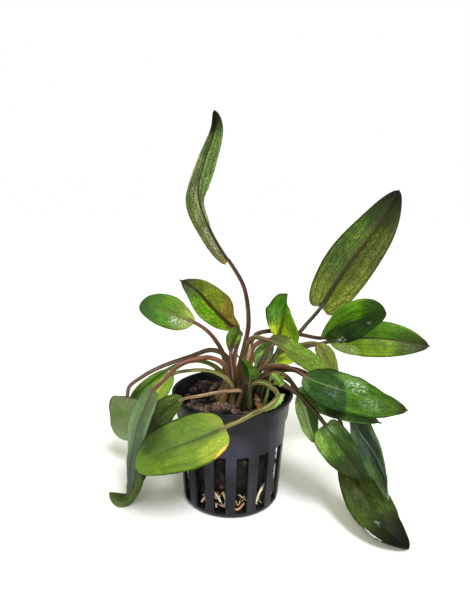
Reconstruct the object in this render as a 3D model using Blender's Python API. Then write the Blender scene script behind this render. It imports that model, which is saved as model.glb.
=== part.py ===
"""Potted cryptocoryne: a black net pot with its growing medium, roots, crown and leaves.

The origin is the centre of the pot's base, +Z is up and the plant's fuller side faces -Y.
Sizes below are in millimetres; MM turns them into Blender's metres.
"""
import math
from typing import NamedTuple

import bmesh
import bpy
import numpy as np

MM = 0.001

# Net pot, of the common 5 cm size: radii of its outer wall by height, from the foot to the lip.
POT_HEIGHT = 51.0
POT_OUTER = [(20.7, 0.0), (22.0, 1.2), (22.3, 2.5), (24.1, 29.8), (24.5, 38.4), (25.5, 40.9),
             (26.1, 47.0), (27.5, 49.9), (27.5, POT_HEIGHT)]
POT_INNER = [(26.3, POT_HEIGHT), (24.9, 47.0), (24.2, 41.5), (23.0, 38.4), (22.8, 29.8), (21.0, 2.5),
             (20.9, 1.6)]
FLOOR_TOP = 1.6
SLOT_COUNT = 15
SLOT_SHARE = 0.53  # of the space from one slot to the next
SLOT_BOTTOM = 2.5
SLOT_TOP = 29.8

# Growing medium, which fills the pot to a few millimetres below its lip.
MEDIUM_TOP = 44.6
MEDIUM_SIDE = [(23.7, 42.0), (22.4, 38.0), (22.2, 29.0), (20.9, 15.0), (18.6, 12.5), (18.4, 2.2)]
MEDIUM_COLUMNS = 28
MEDIUM_RINGS = [5.0, 9.0, 12.5, 16.0, 19.5, 22.4]
FLUTE_DEPTH = 0.5
LUMP_HEIGHT = 1.9
# Mounds and hollows of its surface: x, y, rise and spread.
SWELLS = [(-14, 12, 4.4, 80), (-13, -3, -2.4, 24), (-6, -20, 3.4, 45), (16, 6, -2.0, 60)]
LEVEL_MARGIN = 1.2
LEVEL_BLEND = 3.0

# Crown, the low rootstock dome that every leaf grows from.
CROWN_CENTER = (2.0, -4.0)
CROWN_RADIUS = 10.6
CROWN_FOOT = 45.1
CROWN_EDGE = 46.0
CROWN_RISE = 3.5
CROWN_SIDES = 18
CROWN_SHARES = (1.0, 0.8, 0.55, 0.28)

# Leaves: stalk radius at the root and at the blade, half the blade's thickness, gap left at the crown.
STALK_ROOT_RADIUS = 1.2
STALK_TOP_RADIUS = 0.85
BLADE_HALF_THICKNESS = 0.28
ROOT_GAP = 0.85
STALK_SPACING = 6.5  # between the rings of a stalk
LONG_BLADE = 20.0  # blades above this length get more rings
RIM_TO_FLAT = 1.5  # width gained over which a round stalk turns into a flat blade
MIDRIB_TAPER = 0.65  # share of its radius that the midrib loses by the tip
MIDRIB_SHARE = 0.8
ACROSS = (-1, -0.5, 0, 0.5, 1)  # places across the blade, from its left edge to its right

# Roots that show through the slots, between the medium's narrow foot and the pot's wall.
ROOT_RADIUS = 0.65
ROOT_RING = 19.75
ROOT_TAPER = 0.35
ROOT_STATIONS = 9
ROOT_SIDES = 6

# Points made along a curve between two of the points that it goes through.
CURVE_STEPS = 24


class Leaf(NamedTuple):
    """One leaf: where it leaves the crown, its stalk, its blade's midrib, and how the blade is shaped.

    root is the distance from the crown's centre and the bearing in degrees. shape holds the two powers
    of the outline, at the base and at the tip. folds are the angles by which the left and right halves
    rise from the midrib, and faces are the directions that the upper side looks in, from base to tip.
    """
    name: str
    root: tuple
    stalk: list
    blade: list
    width: float
    shape: tuple
    folds: tuple
    faces: list
    stalk_radii: tuple = (STALK_ROOT_RADIUS, STALK_TOP_RADIUS)


LEAVES = [
    Leaf("leaf_tall_twisted", root=(2.4, 170),
         stalk=[(3, -1, 63), (5, -1, 72.5), (6.5, 0, 81.5), (5.5, 2, 93), (3.5, 4, 99.5),
                (-0.5, 6, 106)],
         blade=[(-3, 7, 109.5), (-9, 9, 118.5), (-13, 11, 126.5), (-16.5, 12, 136), (-16.5, 12, 143.5),
                (-13.5, 11, 154), (-9.5, 10, 166.5), (-10, 9, 173)],
         width=14.5, shape=(0.56, 0.5), folds=(52, 52),
         faces=[(-1, -1, 0.2), (0, -1, -0.8), (0.3, -1, -0.3)]),
    Leaf("leaf_upper_left", root=(5.7, 222),
         stalk=[(0, -9.5, 62), (1, -9, 72)],
         blade=[(2.5, -9.5, 80.5), (-2.5, -10.5, 84.5), (-8.5, -12, 91), (-15.5, -13, 99),
                (-22.5, -13, 103.5)],
         width=15.5, shape=(0.9, 0.96), folds=(20, 14),
         faces=[(0, -0.5, 1), (-0.2, -1, 0.4)]),
    Leaf("leaf_young_folded", root=(5.7, 258),
         stalk=[(0, -15.5, 64)],
         blade=[(-1, -15, 71), (-0.5, -13.5, 76), (1, -14, 80.5), (3, -13, 82.5)],
         width=8, shape=(1.2, 0.35), folds=(28, 24),
         faces=[(-0.1, -1, 0.3), (0.1, -1, 0.2)]),
    Leaf("leaf_left_round", root=(5.7, 145),
         stalk=[(-3.5, 2, 58.5), (-4.5, 4.5, 66), (-8, 7.5, 71.5), (-12.5, 11, 75.5)],
         blade=[(-18.5, 14, 78.5), (-25.5, 17, 80), (-31.5, 20, 82), (-38.5, 22, 83.5),
                (-46.5, 24, 83.5)],
         width=16, shape=(0.61, 0.59), folds=(6, 8),
         faces=[(-0.1, -1, 0.3), (-0.1, -1, 0.5)]),
    Leaf("leaf_center_small", root=(2.9, 80),
         stalk=[(12, 3.5, 61), (16, 6.5, 68)],
         blade=[(20, 8, 72.5), (22, 10, 78), (23.5, 12, 85.5), (24.5, 13, 93.5)],
         width=18, shape=(0.45, 0.5), folds=(18, 32),
         faces=[(0.2, -1, 0.4), (-1, -0.7, 0.3)]),
    Leaf("leaf_right_upright", root=(5.7, 36),
         stalk=[(15.5, 6, 57.5), (19.5, 8, 64.5), (23, 10.5, 70), (30, 14, 73.5), (35, 15.5, 79)],
         blade=[(41, 16, 86.5), (46, 18, 94.5), (54.5, 21, 107), (67, 24, 124), (76.5, 26, 141.5)],
         width=24, shape=(0.4, 0.64), folds=(0, 12),
         faces=[(-0.1, -1, 0.5), (-0.3, -1, 0.5)]),
    Leaf("leaf_right_round", root=(5.7, 108),
         stalk=[(6, 1.5, 62), (7, 2.5, 69), (9, 5, 74), (12, 9, 75.5), (22, 13, 75.5), (31, 11, 74.5)],
         blade=[(41, 6, 74.5), (43, 4, 77.5), (48, 2, 82.5), (54, 0, 85.5), (60.5, -2, 87.5),
                (66, -4, 89)],
         width=21, shape=(0.62, 0.5), folds=(44, 34),
         faces=[(0.2, -1, -0.1), (0.1, -1, 0.7)]),
    Leaf("leaf_right_pointed", root=(5.7, 72),
         stalk=[(8, 9, 59.5), (9, 8.5, 68), (13.5, 10, 71.5), (24.5, 14, 70), (33.5, 15, 67.5),
                (39.5, 15, 68.5)],
         blade=[(45.5, 15, 70), (53, 15, 71), (62, 14, 72.5), (74, 12, 72.5), (91.5, 9, 70.5)],
         width=18, shape=(0.62, 0.77), folds=(20, 10),
         faces=[(0.1, -1, 0), (0.1, -1, 0.5)]),
    Leaf("leaf_olive_front", root=(5.7, 294),
         stalk=[(4.5, -10, 66), (5.5, -11, 74.5), (7.5, -12, 79), (11, -13, 79.5)],
         blade=[(15.5, -14.5, 78.5), (20, -15, 76.5), (24.5, -15, 73.5), (30, -14, 70), (39.5, -12, 63)],
         width=12, shape=(0.35, 0.51), folds=(16, 30),
         faces=[(0.1, -0.4, 1), (-0.1, -1, 0.5)]),
    Leaf("leaf_olive_behind", root=(8.7, 43),
         stalk=[(13.5, 10.5, 58), (22, 11.5, 65.5), (31, 9, 70)],
         blade=[(38, 7, 71.5), (40.5, 5, 69), (43, 3, 65), (46.5, 0, 56.5)],
         width=8.5, shape=(0.54, 0.7), folds=(12, 18),
         faces=[(-0.1, -1, 0.9), (0.1, -1, 0.6)]),
    Leaf("leaf_young_yellow", root=(8.7, 67),
         stalk=[(12, 12, 55.5), (16, 13.5, 58)],
         blade=[(19.5, 13, 59), (24.5, 17, 61), (28.5, 20, 62.5), (33, 23, 63)],
         width=9, shape=(0.57, 0.73), folds=(-4, 0),
         faces=[(0, -1, 0.8), (-0.1, -0.9, 1)]),
    Leaf("leaf_right_glossy", root=(5.7, 328),
         stalk=[(9.5, -16, 64.5), (14.5, -16, 68), (21.5, -17, 68.5), (26.5, -20, 67.5)],
         blade=[(29, -22, 66.5), (33, -24, 65), (37.5, -26, 64), (45.5, -29, 62.5), (57, -31, 59.5),
                (68.5, -33, 57)],
         width=19.5, shape=(0.46, 0.72), folds=(-4, -4),
         faces=[(-0.1, -0.7, 1), (0, -0.5, 1)]),
    Leaf("leaf_right_under", root=(5.7, 2),
         stalk=[(12.5, -14, 62.5), (18.5, -16.5, 65.5), (24, -14.5, 62)],
         blade=[(26.5, -15, 58), (30.5, -15.5, 55.5), (36.5, -20, 54), (47, -25.5, 52.5),
                (60, -29, 49.5)],
         width=11, shape=(0.59, 0.81), folds=(10, 20),
         faces=[(0.1, -1, 0.6), (0.1, -1, 1)]),
    Leaf("leaf_right_narrow", root=(8.7, 19),
         stalk=[(14.5, -7, 59.5), (20.5, -6.5, 60.5), (26, -7, 57.5)],
         blade=[(29, -8, 53), (31.5, -10, 47), (33.5, -12, 40.5), (37, -13, 31.5)],
         width=9.5, shape=(0.49, 0.73), folds=(22, 20),
         faces=[(0.2, -1, 0.1), (0.3, -1, 0.1)]),
    Leaf("leaf_right_hanging", root=(8.7, 331),
         stalk=[(13, -15.5, 60.5), (20, -18, 61), (27, -19, 57.5), (31.5, -25, 54.5), (35, -26.5, 51)],
         blade=[(38, -26, 47), (41, -27, 43), (45, -29, 37.5), (49.5, -31, 31.5), (54.5, -32, 26)],
         width=16.5, shape=(0.3, 0.72), folds=(22, 4),
         faces=[(-0.3, -1, 0.1), (-0.4, -1, -0.1)]),
    Leaf("leaf_right_folded", root=(8.7, 355),
         stalk=[(16.5, -12.5, 65), (26.5, -12, 65.5), (37, -15, 61), (45, -18.5, 55)],
         blade=[(49, -21, 49.5), (51.5, -23, 44.5), (56, -26, 39), (58.5, -27.5, 35.5), (61, -29, 31),
                (63, -30, 26), (64.5, -31.5, 17)],
         width=17, shape=(0.35, 0.76), folds=(52, 50),
         faces=[(0.5, -1, 0.1), (-1, -0.5, -0.3)]),
    Leaf("leaf_right_table", root=(2.9, 20),
         stalk=[(19, -0.5, 60), (30, -2, 61), (41, -5, 52.5), (47, -8, 43)],
         blade=[(50, -11, 33), (53, -18.5, 21.5), (58, -26.5, 12.5), (63, -33.5, 6), (71.5, -40, 1)],
         width=18.5, shape=(0.71, 0.5), folds=(16, 16),
         faces=[(-0.2, -1, 0.6), (-0.4, -1, 0.6), (0.6, -0.2, 1)]),
    Leaf("leaf_left_far", root=(8.7, 174),
         stalk=[(-1, -2, 60), (-3, 0, 66.5), (-9.5, 3.5, 68.5), (-20, 7, 64), (-34.5, 10, 57.5),
                (-44.5, 12, 51), (-50, 13, 46)],
         blade=[(-51, 13, 41), (-52, 13.5, 35), (-52.5, 14, 28.5), (-53, 15, 17)],
         width=18, shape=(0.2, 0.34), folds=(-4, -4),
         faces=[(-0.2, -1, 0), (-0.2, -1, 0.3)]),
    Leaf("leaf_left_hanging", root=(8.7, 220),
         stalk=[(-1.5, -12.5, 61.5), (-4.5, -11.5, 67.5), (-10, -12, 70), (-15.5, -14, 70),
                (-21, -16, 68.5), (-25.5, -18, 65.5), (-29, -20, 62)],
         blade=[(-32.5, -21, 58.5), (-34.5, -22, 54), (-36.5, -23, 49), (-39, -24, 42),
                (-40.5, -24, 33), (-42, -24, 23), (-42.5, -24, 13.5)],
         width=18, shape=(0.35, 0.62), folds=(8, -4),
         faces=[(-1, -0.8, 0.4), (-1, -0.7, 0)]),
    Leaf("leaf_front_left", root=(8.7, 305),
         stalk=[(7.5, -17, 60), (11.5, -20, 62.5), (15.5, -22, 61.5), (18, -28, 60), (14, -34, 58),
                (7.5, -36, 55.5), (2.5, -37, 53)],
         blade=[(-2.5, -38, 51), (-10, -39, 47.6), (-16.5, -40, 45.2), (-27.5, -41, 41.2),
                (-36.5, -41, 34.8)],
         width=22, shape=(0.36, 0.55), folds=(-4, -4),
         faces=[(0, -1, 0.8), (-0.1, -0.75, 0.9)]),
    Leaf("leaf_left_table", root=(8.7, 268),
         stalk=[(3.8, -16.2, 56.6), (0, -18.8, 58), (-6.5, -19.2, 57.2), (-13.5, -19.5, 55.8)],
         blade=[(-20.5, -19, 54), (-27, -18, 49.5), (-33.5, -16, 40.5), (-38.5, -13, 29.5),
                (-43, -10, 16.5), (-45, -10, 7), (-48.5, -10.5, 1.5), (-56.5, -5.5, 1.5)],
         width=19.5, shape=(0.51, 0.71), folds=(-4, -4),
         faces=[(-0.4, -0.6, 1), (-1, -0.9, 0.3), (0, 0.1, 1)], stalk_radii=(0.85, 0.6)),
    Leaf("leaf_left_bright", root=(8.7, 255),
         stalk=[(-0.1, -15.5, 57.5), (-1.4, -17.2, 61.4), (-5, -16.4, 64), (-12, -12.8, 64.6),
                (-19, -10, 63.3)],
         blade=[(-26, -7, 60.5), (-29.5, -6, 55.5), (-33.5, -5, 48.5), (-38.5, -4, 39)],
         width=7, shape=(0.49, 0.81), folds=(8, 14),
         faces=[(0, -1, 0.3), (-0.3, -1, 0.4)], stalk_radii=(1.0, 0.7)),
    Leaf("leaf_left_behind", root=(8.7, 150),
         stalk=[(-3, 5, 53.5), (-8.5, 9.5, 58.5), (-16.5, 13, 60), (-24.5, 16, 57.5)],
         blade=[(-32, 18, 53.5), (-40, 20, 46.5), (-46.5, 22, 40), (-52.5, 23, 31.5)],
         width=9, shape=(0.52, 0.55), folds=(8, 38),
         faces=[(0.2, -1, 0.2), (0.1, -1, 0.1)]),
    Leaf("leaf_young_front", root=(8.7, 286),
         stalk=[],
         blade=[(6.5, -20.5, 62.5), (6, -20, 67), (4, -15, 69.5), (1.5, -15, 72.5)],
         width=8, shape=(0.35, 1.1), folds=(26, 14),
         faces=[(0.6, -1, 0.8), (0.1, -1, 0.6)]),
    Leaf("leaf_young_behind", root=(8.7, 91),
         stalk=[(9, 13, 53)],
         blade=[(11, 16.5, 56.5), (14, 16, 62.5), (18.5, 18, 68)],
         width=8.5, shape=(0.59, 0.54), folds=(10, 8),
         faces=[(0, -1, 0.8), (0, -1, 0.7)]),
]

# Small growths beside the leaves: two seedlings of another plant and a dry leaf sheath.
SPROUTS = [
    Leaf("seedling_center", root=(14.5, 318),
         stalk=[(14.5, -17.5, 56), (15.3, -19.4, 62.5)],
         blade=[(16.2, -21, 66.5), (18.2, -22.3, 65), (20.2, -23.2, 62.4)],
         width=5, shape=(0.5, 0.5), folds=(8, 8), faces=[(0, -1, 1), (0, -1, 1)],
         stalk_radii=(0.6, 0.45)),
    Leaf("seedling_rim", root=(17.5, 329),
         stalk=[(20, -14.5, 52)],
         blade=[(21.5, -17.5, 56), (18, -23, 55.5), (13.5, -27.5, 53)],
         width=4, shape=(0.6, 0.7), folds=(10, 10), faces=[(0.5, -1, 0.6), (0.3, -1, 0.4)],
         stalk_radii=(0.6, 0.45)),
    Leaf("sheath_dry", root=(2.6, 255),
         stalk=[(4.5, -6.5, 58.5)],
         blade=[(5, -6.5, 63), (5.5, -6, 68), (7, -6, 75.5)],
         width=2.4, shape=(0.5, 0.5), folds=(10, 10), faces=[(0, -1, 0.2), (0.2, -1, 0.1)],
         stalk_radii=(0.7, 0.6)),
]

# Roots: bearing where each starts, turn in degrees, and heights along the way.
ROOTS = [
    ("root_front_left", -130, 28, [4.0, 8.5, 10.5, 6.5]),
    ("root_front_center", -100, 28, [11.5, 5.5, 3.2, 6.0]),
    ("root_front_right", -66, 26, [3.2, 4.5, 9.5, 12.0]),
    ("root_right", -36, 40, [9.0, 4.0, 3.4, 7.5]),
    ("root_back_right", 30, 42, [5.0, 10.0, 6.0, 3.4]),
    ("root_back_left", 100, 44, [10.5, 4.5, 3.4, 8.0]),
    ("root_left", 170, 36, [3.4, 7.0, 11.0, 7.5]),
]


def clear_scene():
    """Remove whatever the open scene holds."""
    for thing in list(bpy.data.objects):
        bpy.data.objects.remove(thing, do_unlink=True)


def unit(vectors):
    """Vectors scaled to length one."""
    vectors = np.asarray(vectors, float)
    return vectors / np.linalg.norm(vectors, axis=-1, keepdims=True)


def smooth_curve(points):
    """Fine points of a centripetal Catmull-Rom curve through the given points, and the run at each."""
    p = np.asarray(points, float)
    p = np.vstack([2 * p[0] - p[1], p, 2 * p[-1] - p[-2]])
    fine = []
    for i in range(1, len(p) - 2):
        a, b, c, d = p[i - 1:i + 3]
        t1 = np.linalg.norm(b - a) ** 0.5
        t2 = t1 + np.linalg.norm(c - b) ** 0.5
        t3 = t2 + np.linalg.norm(d - c) ** 0.5
        t = np.linspace(t1, t2, CURVE_STEPS, endpoint=False)[:, None]
        ab = ((t1 - t) * a + t * b) / t1
        bc = ((t2 - t) * b + (t - t1) * c) / (t2 - t1)
        cd = ((t3 - t) * c + (t - t2) * d) / (t3 - t2)
        abc = ((t2 - t) * ab + t * bc) / t2
        bcd = ((t3 - t) * bc + (t - t1) * cd) / (t3 - t1)
        fine.append(((t2 - t) * abc + (t - t1) * bcd) / (t2 - t1))
    fine = np.vstack(fine + [p[-2:-1]])
    run = np.concatenate([[0], np.cumsum(np.linalg.norm(np.diff(fine, axis=0), axis=1))])
    return fine, run


def at_run(fine, run, where):
    """Points of a fine curve at the given runs along it."""
    return np.stack([np.interp(where, run, fine[:, k]) for k in range(3)], -1)


def crown_height(distance):
    """Height of the crown's top at a distance from its centre; beyond it, of the medium."""
    if distance > CROWN_RADIUS:
        return MEDIUM_TOP + 0.6 * LUMP_HEIGHT
    return CROWN_EDGE + CROWN_RISE * (1 - (distance / CROWN_RADIUS) ** 2)


def root_point(root):
    """Where a leaf starts, just above the crown."""
    distance, bearing = root
    angle = math.radians(bearing)
    return (CROWN_CENTER[0] + distance * math.cos(angle),
            CROWN_CENTER[1] + distance * math.sin(angle),
            crown_height(distance) + ROOT_GAP)


def stations(length, start):
    """Runs of a leaf's rings: even along the stalk, closer together near the blade's base and tip."""
    stalk_rings = max(3, round(start / STALK_SPACING))
    blade_rings = 8 if length - start > LONG_BLADE else 6
    share = np.linspace(0, 1, blade_rings)
    share = 0.65 * share + 0.35 * (0.5 - 0.5 * np.cos(share ** 0.9 * math.pi))
    share[-1] = 0.985
    return np.concatenate([np.linspace(0, start, stalk_rings, endpoint=False),
                           start + (length - start) * share])


def leaf_frames(leaf):
    """Centre line of a leaf, its directions up from the blade and to its right, and how far along it is."""
    points = [root_point(leaf.root)] + leaf.stalk + leaf.blade
    fine, run = smooth_curve(points)
    start = run[CURVE_STEPS * (1 + len(leaf.stalk))]
    where = stations(run[-1], start)
    center = at_run(fine, run, where)
    reach = 0.004 * run[-1]
    ahead = unit(at_run(fine, run, np.minimum(where + reach, run[-1]))
                 - at_run(fine, run, np.maximum(where - reach, 0)))
    ahead[0] = (0, 0, 1)
    along = np.clip((where - start) / (run[-1] - start), 0, 1)
    keys = np.linspace(0, 1, len(leaf.faces))
    face = unit([[np.interp(t, keys, [f[k] for f in unit(leaf.faces)]) for k in range(3)] for t in along])
    up = unit(face - (face * ahead).sum(-1, keepdims=True) * ahead)
    first_blade = int(np.argmax(where >= start - 1e-9))
    for i in range(first_blade - 1, -1, -1):
        up[i] = unit(up[i + 1] - up[i + 1].dot(ahead[i]) * ahead[i])
    return center, up, np.cross(ahead, up), along, where / start, fine[-1]


def half_width(leaf, along):
    """Half the blade's width along it, from nothing at the base to nothing at the tip."""
    base, tip = leaf.shape
    widest = base / (base + tip)
    return leaf.width / 2 * (along / widest) ** base * ((1 - along) / (1 - widest)) ** tip


def leaf_mesh(leaf):
    """A leaf as one closed skin: round rings up the stalk that flatten into the folded blade."""
    center, up, side, along, stalk_share, tip = leaf_frames(leaf)
    root_radius, top_radius = leaf.stalk_radii
    verts = []
    for i, t in enumerate(along):
        radius = np.interp(stalk_share[i], [0, 1], [root_radius, top_radius])
        radius *= 1 - MIDRIB_TAPER * t
        reach = max(half_width(leaf, t) if t > 0 else 0, radius)
        flat = min(max((reach - radius) / RIM_TO_FLAT, 0), 1)
        thick = radius + flat * (BLADE_HALF_THICKNESS - radius)
        top = []
        bottom = []
        for u in ACROSS:
            fold = math.radians(leaf.folds[0] if u < 0 else leaf.folds[1]) * flat
            rim = math.cos(math.pi * (1 - u) / 2)
            rise = math.sin(math.pi * (1 - u) / 2)
            across = (1 - flat) * radius * rim + flat * reach * u * math.cos(fold)
            lift = flat * abs(u) * reach * math.sin(fold)
            half = (1 - flat) * radius * rise + flat * (thick if abs(u) < 1 else 0)
            rib = max(half, radius * MIDRIB_SHARE) if u == 0 else half
            middle = center[i] + side[i] * across + up[i] * lift
            top.append(middle + up[i] * half)
            bottom.append(middle - up[i] * rib)
        verts += top + bottom[-2:0:-1]
    return rings_to_mesh(verts, 2 * len(ACROSS) - 2, center[0], tip)


def rings_to_mesh(verts, size, first, last):
    """Join rings of equal size into a closed skin with a point at each end."""
    count = len(verts) // size
    faces = []
    for i in range(count - 1):
        for j in range(size):
            a = i * size + j
            b = i * size + (j + 1) % size
            faces.append((a, b, b + size, a + size))
    verts = list(verts) + [np.asarray(first), np.asarray(last)]
    top = (count - 1) * size
    for j in range(size):
        k = (j + 1) % size
        faces.append((count * size, k, j))
        faces.append((count * size + 1, top + j, top + k))
    return verts, faces


def pot_mesh():
    """Net pot: outer and inner walls on the same columns, with the slots left open between them."""
    pitch = 2 * math.pi / SLOT_COUNT
    edge = pitch * SLOT_SHARE / 2
    first = -math.pi / 2 + pitch / 2
    columns = []
    for i in range(SLOT_COUNT):
        for shift in (-edge, 0, edge, pitch / 2):
            columns.append(first + i * pitch + shift)
    count = len(columns)
    rows = POT_OUTER + POT_INNER
    verts = [(r * math.cos(a), r * math.sin(a), z) for r, z in rows for a in columns]
    low = [i for i, (_, z) in enumerate(rows) if z == SLOT_BOTTOM]
    high = [i for i, (_, z) in enumerate(rows) if z == SLOT_TOP]
    faces = []
    for i in range(len(rows) - 1):
        for j in range(count):
            k = (j + 1) % count
            if i in (low[0], high[1]) and j % 4 in (0, 1):
                continue
            faces.append((i * count + j, i * count + k, (i + 1) * count + k, (i + 1) * count + j))
    for j in range(0, count, 4):
        outer_low, outer_high = low[0] * count + j, high[0] * count + j
        inner_low, inner_high = low[1] * count + j, high[1] * count + j
        for k in (0, 1):
            faces.append((outer_low + k, outer_low + k + 1, inner_low + k + 1, inner_low + k))
            faces.append((inner_high + k, inner_high + k + 1, outer_high + k + 1, outer_high + k))
        faces.append((outer_low, inner_low, inner_high, outer_high))
        faces.append((outer_high + 2, inner_high + 2, inner_low + 2, outer_low + 2))
    verts.append((0, 0, 0))
    verts.append((0, 0, FLOOR_TOP))
    last = (len(rows) - 1) * count
    for j in range(count):
        k = (j + 1) % count
        faces.append((len(verts) - 2, k, j))
        faces.append((last + j, last + k, len(verts) - 1))
    return verts, faces


def lump(x, y):
    """Uneven height of the medium's surface, level under the crown, with mounds and hollows."""
    wave = (math.sin(0.55 * x + 1.3) * math.cos(0.47 * y - 0.4)
            + 0.6 * math.sin(1.1 * x - 0.8 * y + 2.0) + 0.4 * math.cos(0.9 * x + 1.4 * y))
    from_crown = math.hypot(x - CROWN_CENTER[0], y - CROWN_CENTER[1])
    clear = min(max((from_crown - CROWN_RADIUS - LEVEL_MARGIN) / LEVEL_BLEND, 0), 1)
    raised = sum(rise * math.exp(-((x - cx) ** 2 + (y - cy) ** 2) / spread)
                 for cx, cy, rise, spread in SWELLS)
    return MEDIUM_TOP + clear * (LUMP_HEIGHT / 2 * wave + raised)


def medium_mesh():
    """Growing medium: a lumpy top over a plug that narrows at its foot, where the roots lie."""
    angles = [2 * math.pi * j / MEDIUM_COLUMNS for j in range(MEDIUM_COLUMNS)]
    verts = []
    for radius, z in reversed(MEDIUM_SIDE):
        for j, a in enumerate(angles):
            r = radius - (FLUTE_DEPTH if j % 2 and radius > ROOT_RING else 0)
            verts.append((r * math.cos(a), r * math.sin(a), z))
    for radius in reversed(MEDIUM_RINGS):
        for a in angles:
            x, y = radius * math.cos(a), radius * math.sin(a)
            verts.append((x, y, lump(x, y)))
    return rings_to_mesh(verts, MEDIUM_COLUMNS, (0, 0, MEDIUM_SIDE[-1][1]), (0, 0, lump(0, 0)))


def crown_mesh():
    """Crown: a dome on a short straight foot."""
    rings = [(CROWN_RADIUS, CROWN_FOOT)]
    for share in CROWN_SHARES:
        rings.append((CROWN_RADIUS * share, crown_height(CROWN_RADIUS * share)))
    verts = []
    for radius, z in rings:
        for j in range(CROWN_SIDES):
            a = 2 * math.pi * j / CROWN_SIDES
            verts.append((CROWN_CENTER[0] + radius * math.cos(a), CROWN_CENTER[1] + radius * math.sin(a), z))
    return rings_to_mesh(verts, CROWN_SIDES, (*CROWN_CENTER, CROWN_FOOT), (*CROWN_CENTER, crown_height(0)))


def root_mesh(bearing, turn, heights):
    """One root: a thin tube that wanders round the medium's foot."""
    points = []
    for i, z in enumerate(heights):
        a = math.radians(bearing + turn * i / (len(heights) - 1))
        points.append((ROOT_RING * math.cos(a), ROOT_RING * math.sin(a), z))
    fine, run = smooth_curve(points)
    where = np.linspace(0, run[-1], ROOT_STATIONS)
    center = at_run(fine, run, where)
    ahead = unit(np.gradient(center, axis=0))
    outward = unit(center * (1, 1, 0))
    out = unit(outward - (outward * ahead).sum(-1, keepdims=True) * ahead)
    side = np.cross(ahead, out)
    verts = []
    for i, middle in enumerate(center):
        flat = middle * (1, 1, 0)
        middle = middle + flat * (ROOT_RING / np.linalg.norm(flat) - 1)
        radius = ROOT_RADIUS * (1 - ROOT_TAPER * i / (ROOT_STATIONS - 1))
        for j in range(ROOT_SIDES):
            a = 2 * math.pi * j / ROOT_SIDES
            verts.append(middle + radius * (math.cos(a) * out[i] + math.sin(a) * side[i]))
    return rings_to_mesh(verts, ROOT_SIDES, center[0], center[-1])


def make_material(name, color, roughness):
    """A plain Principled material."""
    material = bpy.data.materials.new(name)
    material.use_nodes = True
    shader = material.node_tree.nodes["Principled BSDF"]
    shader.inputs["Base Color"].default_value = (*color, 1)
    shader.inputs["Roughness"].default_value = roughness
    shader.inputs["Metallic"].default_value = 0.0
    return material


def add_piece(name, mesh_parts, color, roughness):
    """Make one named object from vertices in millimetres and faces, bent quads split at their short side."""
    verts, faces = mesh_parts
    mesh = bpy.data.meshes.new(name)
    mesh.from_pydata([tuple(float(c) * MM for c in v) for v in verts], [], faces)
    if name not in FLAT_SIDED:
        work = bmesh.new()
        work.from_mesh(mesh)
        bmesh.ops.triangulate(work, faces=work.faces, quad_method="SHORT_EDGE")
        work.to_mesh(mesh)
        work.free()
    mesh.shade_smooth()
    mesh.set_sharp_from_angle(angle=math.radians(SMOOTH_ANGLE))
    piece = bpy.data.objects.new(name, mesh)
    bpy.context.collection.objects.link(piece)
    mesh.materials.append(make_material(name, color, roughness))
    return piece


POT_BLACK = (0.012, 0.012, 0.016)
MEDIUM_BROWN = (0.035, 0.022, 0.017)
CROWN_BROWN = (0.10, 0.055, 0.03)
ROOT_TAN = (0.55, 0.42, 0.28)
LEAF_GREEN = (0.07, 0.16, 0.025)
SPROUT_GREEN = (0.25, 0.42, 0.10)
SMOOTH_ANGLE = 40
FLAT_SIDED = ("net_pot", "crown")  # their quads are flat as they are


def build():
    """Make every piece of the plant and its pot."""
    clear_scene()
    add_piece("net_pot", pot_mesh(), POT_BLACK, 0.38)
    add_piece("growing_medium", medium_mesh(), MEDIUM_BROWN, 0.8)
    add_piece("crown", crown_mesh(), CROWN_BROWN, 0.7)
    for name, bearing, turn, heights in ROOTS:
        add_piece(name, root_mesh(bearing, turn, heights), ROOT_TAN, 0.6)
    for leaf in LEAVES:
        add_piece(leaf.name, leaf_mesh(leaf), LEAF_GREEN, 0.35)
    for leaf in SPROUTS:
        add_piece(leaf.name, leaf_mesh(leaf), SPROUT_GREEN, 0.45)


build()
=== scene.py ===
"""Looks of the potted cryptocoryne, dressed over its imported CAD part.

Lengths are in millimetres, in the CAD's frame, and MM turns them into metres.
Colours are written as sRGB from 0 to 255.
"""

import math
import random
from functools import reduce
from typing import NamedTuple

import bmesh
import bpy
import numpy as np
from mathutils import Matrix, Vector, noise


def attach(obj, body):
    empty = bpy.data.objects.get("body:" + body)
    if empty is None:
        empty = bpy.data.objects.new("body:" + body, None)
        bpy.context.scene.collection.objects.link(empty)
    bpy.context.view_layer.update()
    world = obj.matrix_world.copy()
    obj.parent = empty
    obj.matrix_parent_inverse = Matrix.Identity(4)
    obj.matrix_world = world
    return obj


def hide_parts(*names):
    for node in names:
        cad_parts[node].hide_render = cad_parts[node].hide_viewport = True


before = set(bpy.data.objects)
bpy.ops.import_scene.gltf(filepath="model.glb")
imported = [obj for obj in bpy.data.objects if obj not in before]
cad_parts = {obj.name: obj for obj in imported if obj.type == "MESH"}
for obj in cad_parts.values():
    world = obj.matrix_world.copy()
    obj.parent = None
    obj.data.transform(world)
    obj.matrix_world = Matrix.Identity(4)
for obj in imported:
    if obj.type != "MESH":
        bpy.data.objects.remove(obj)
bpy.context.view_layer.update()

MM = 0.001
BODY = "root"

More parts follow.
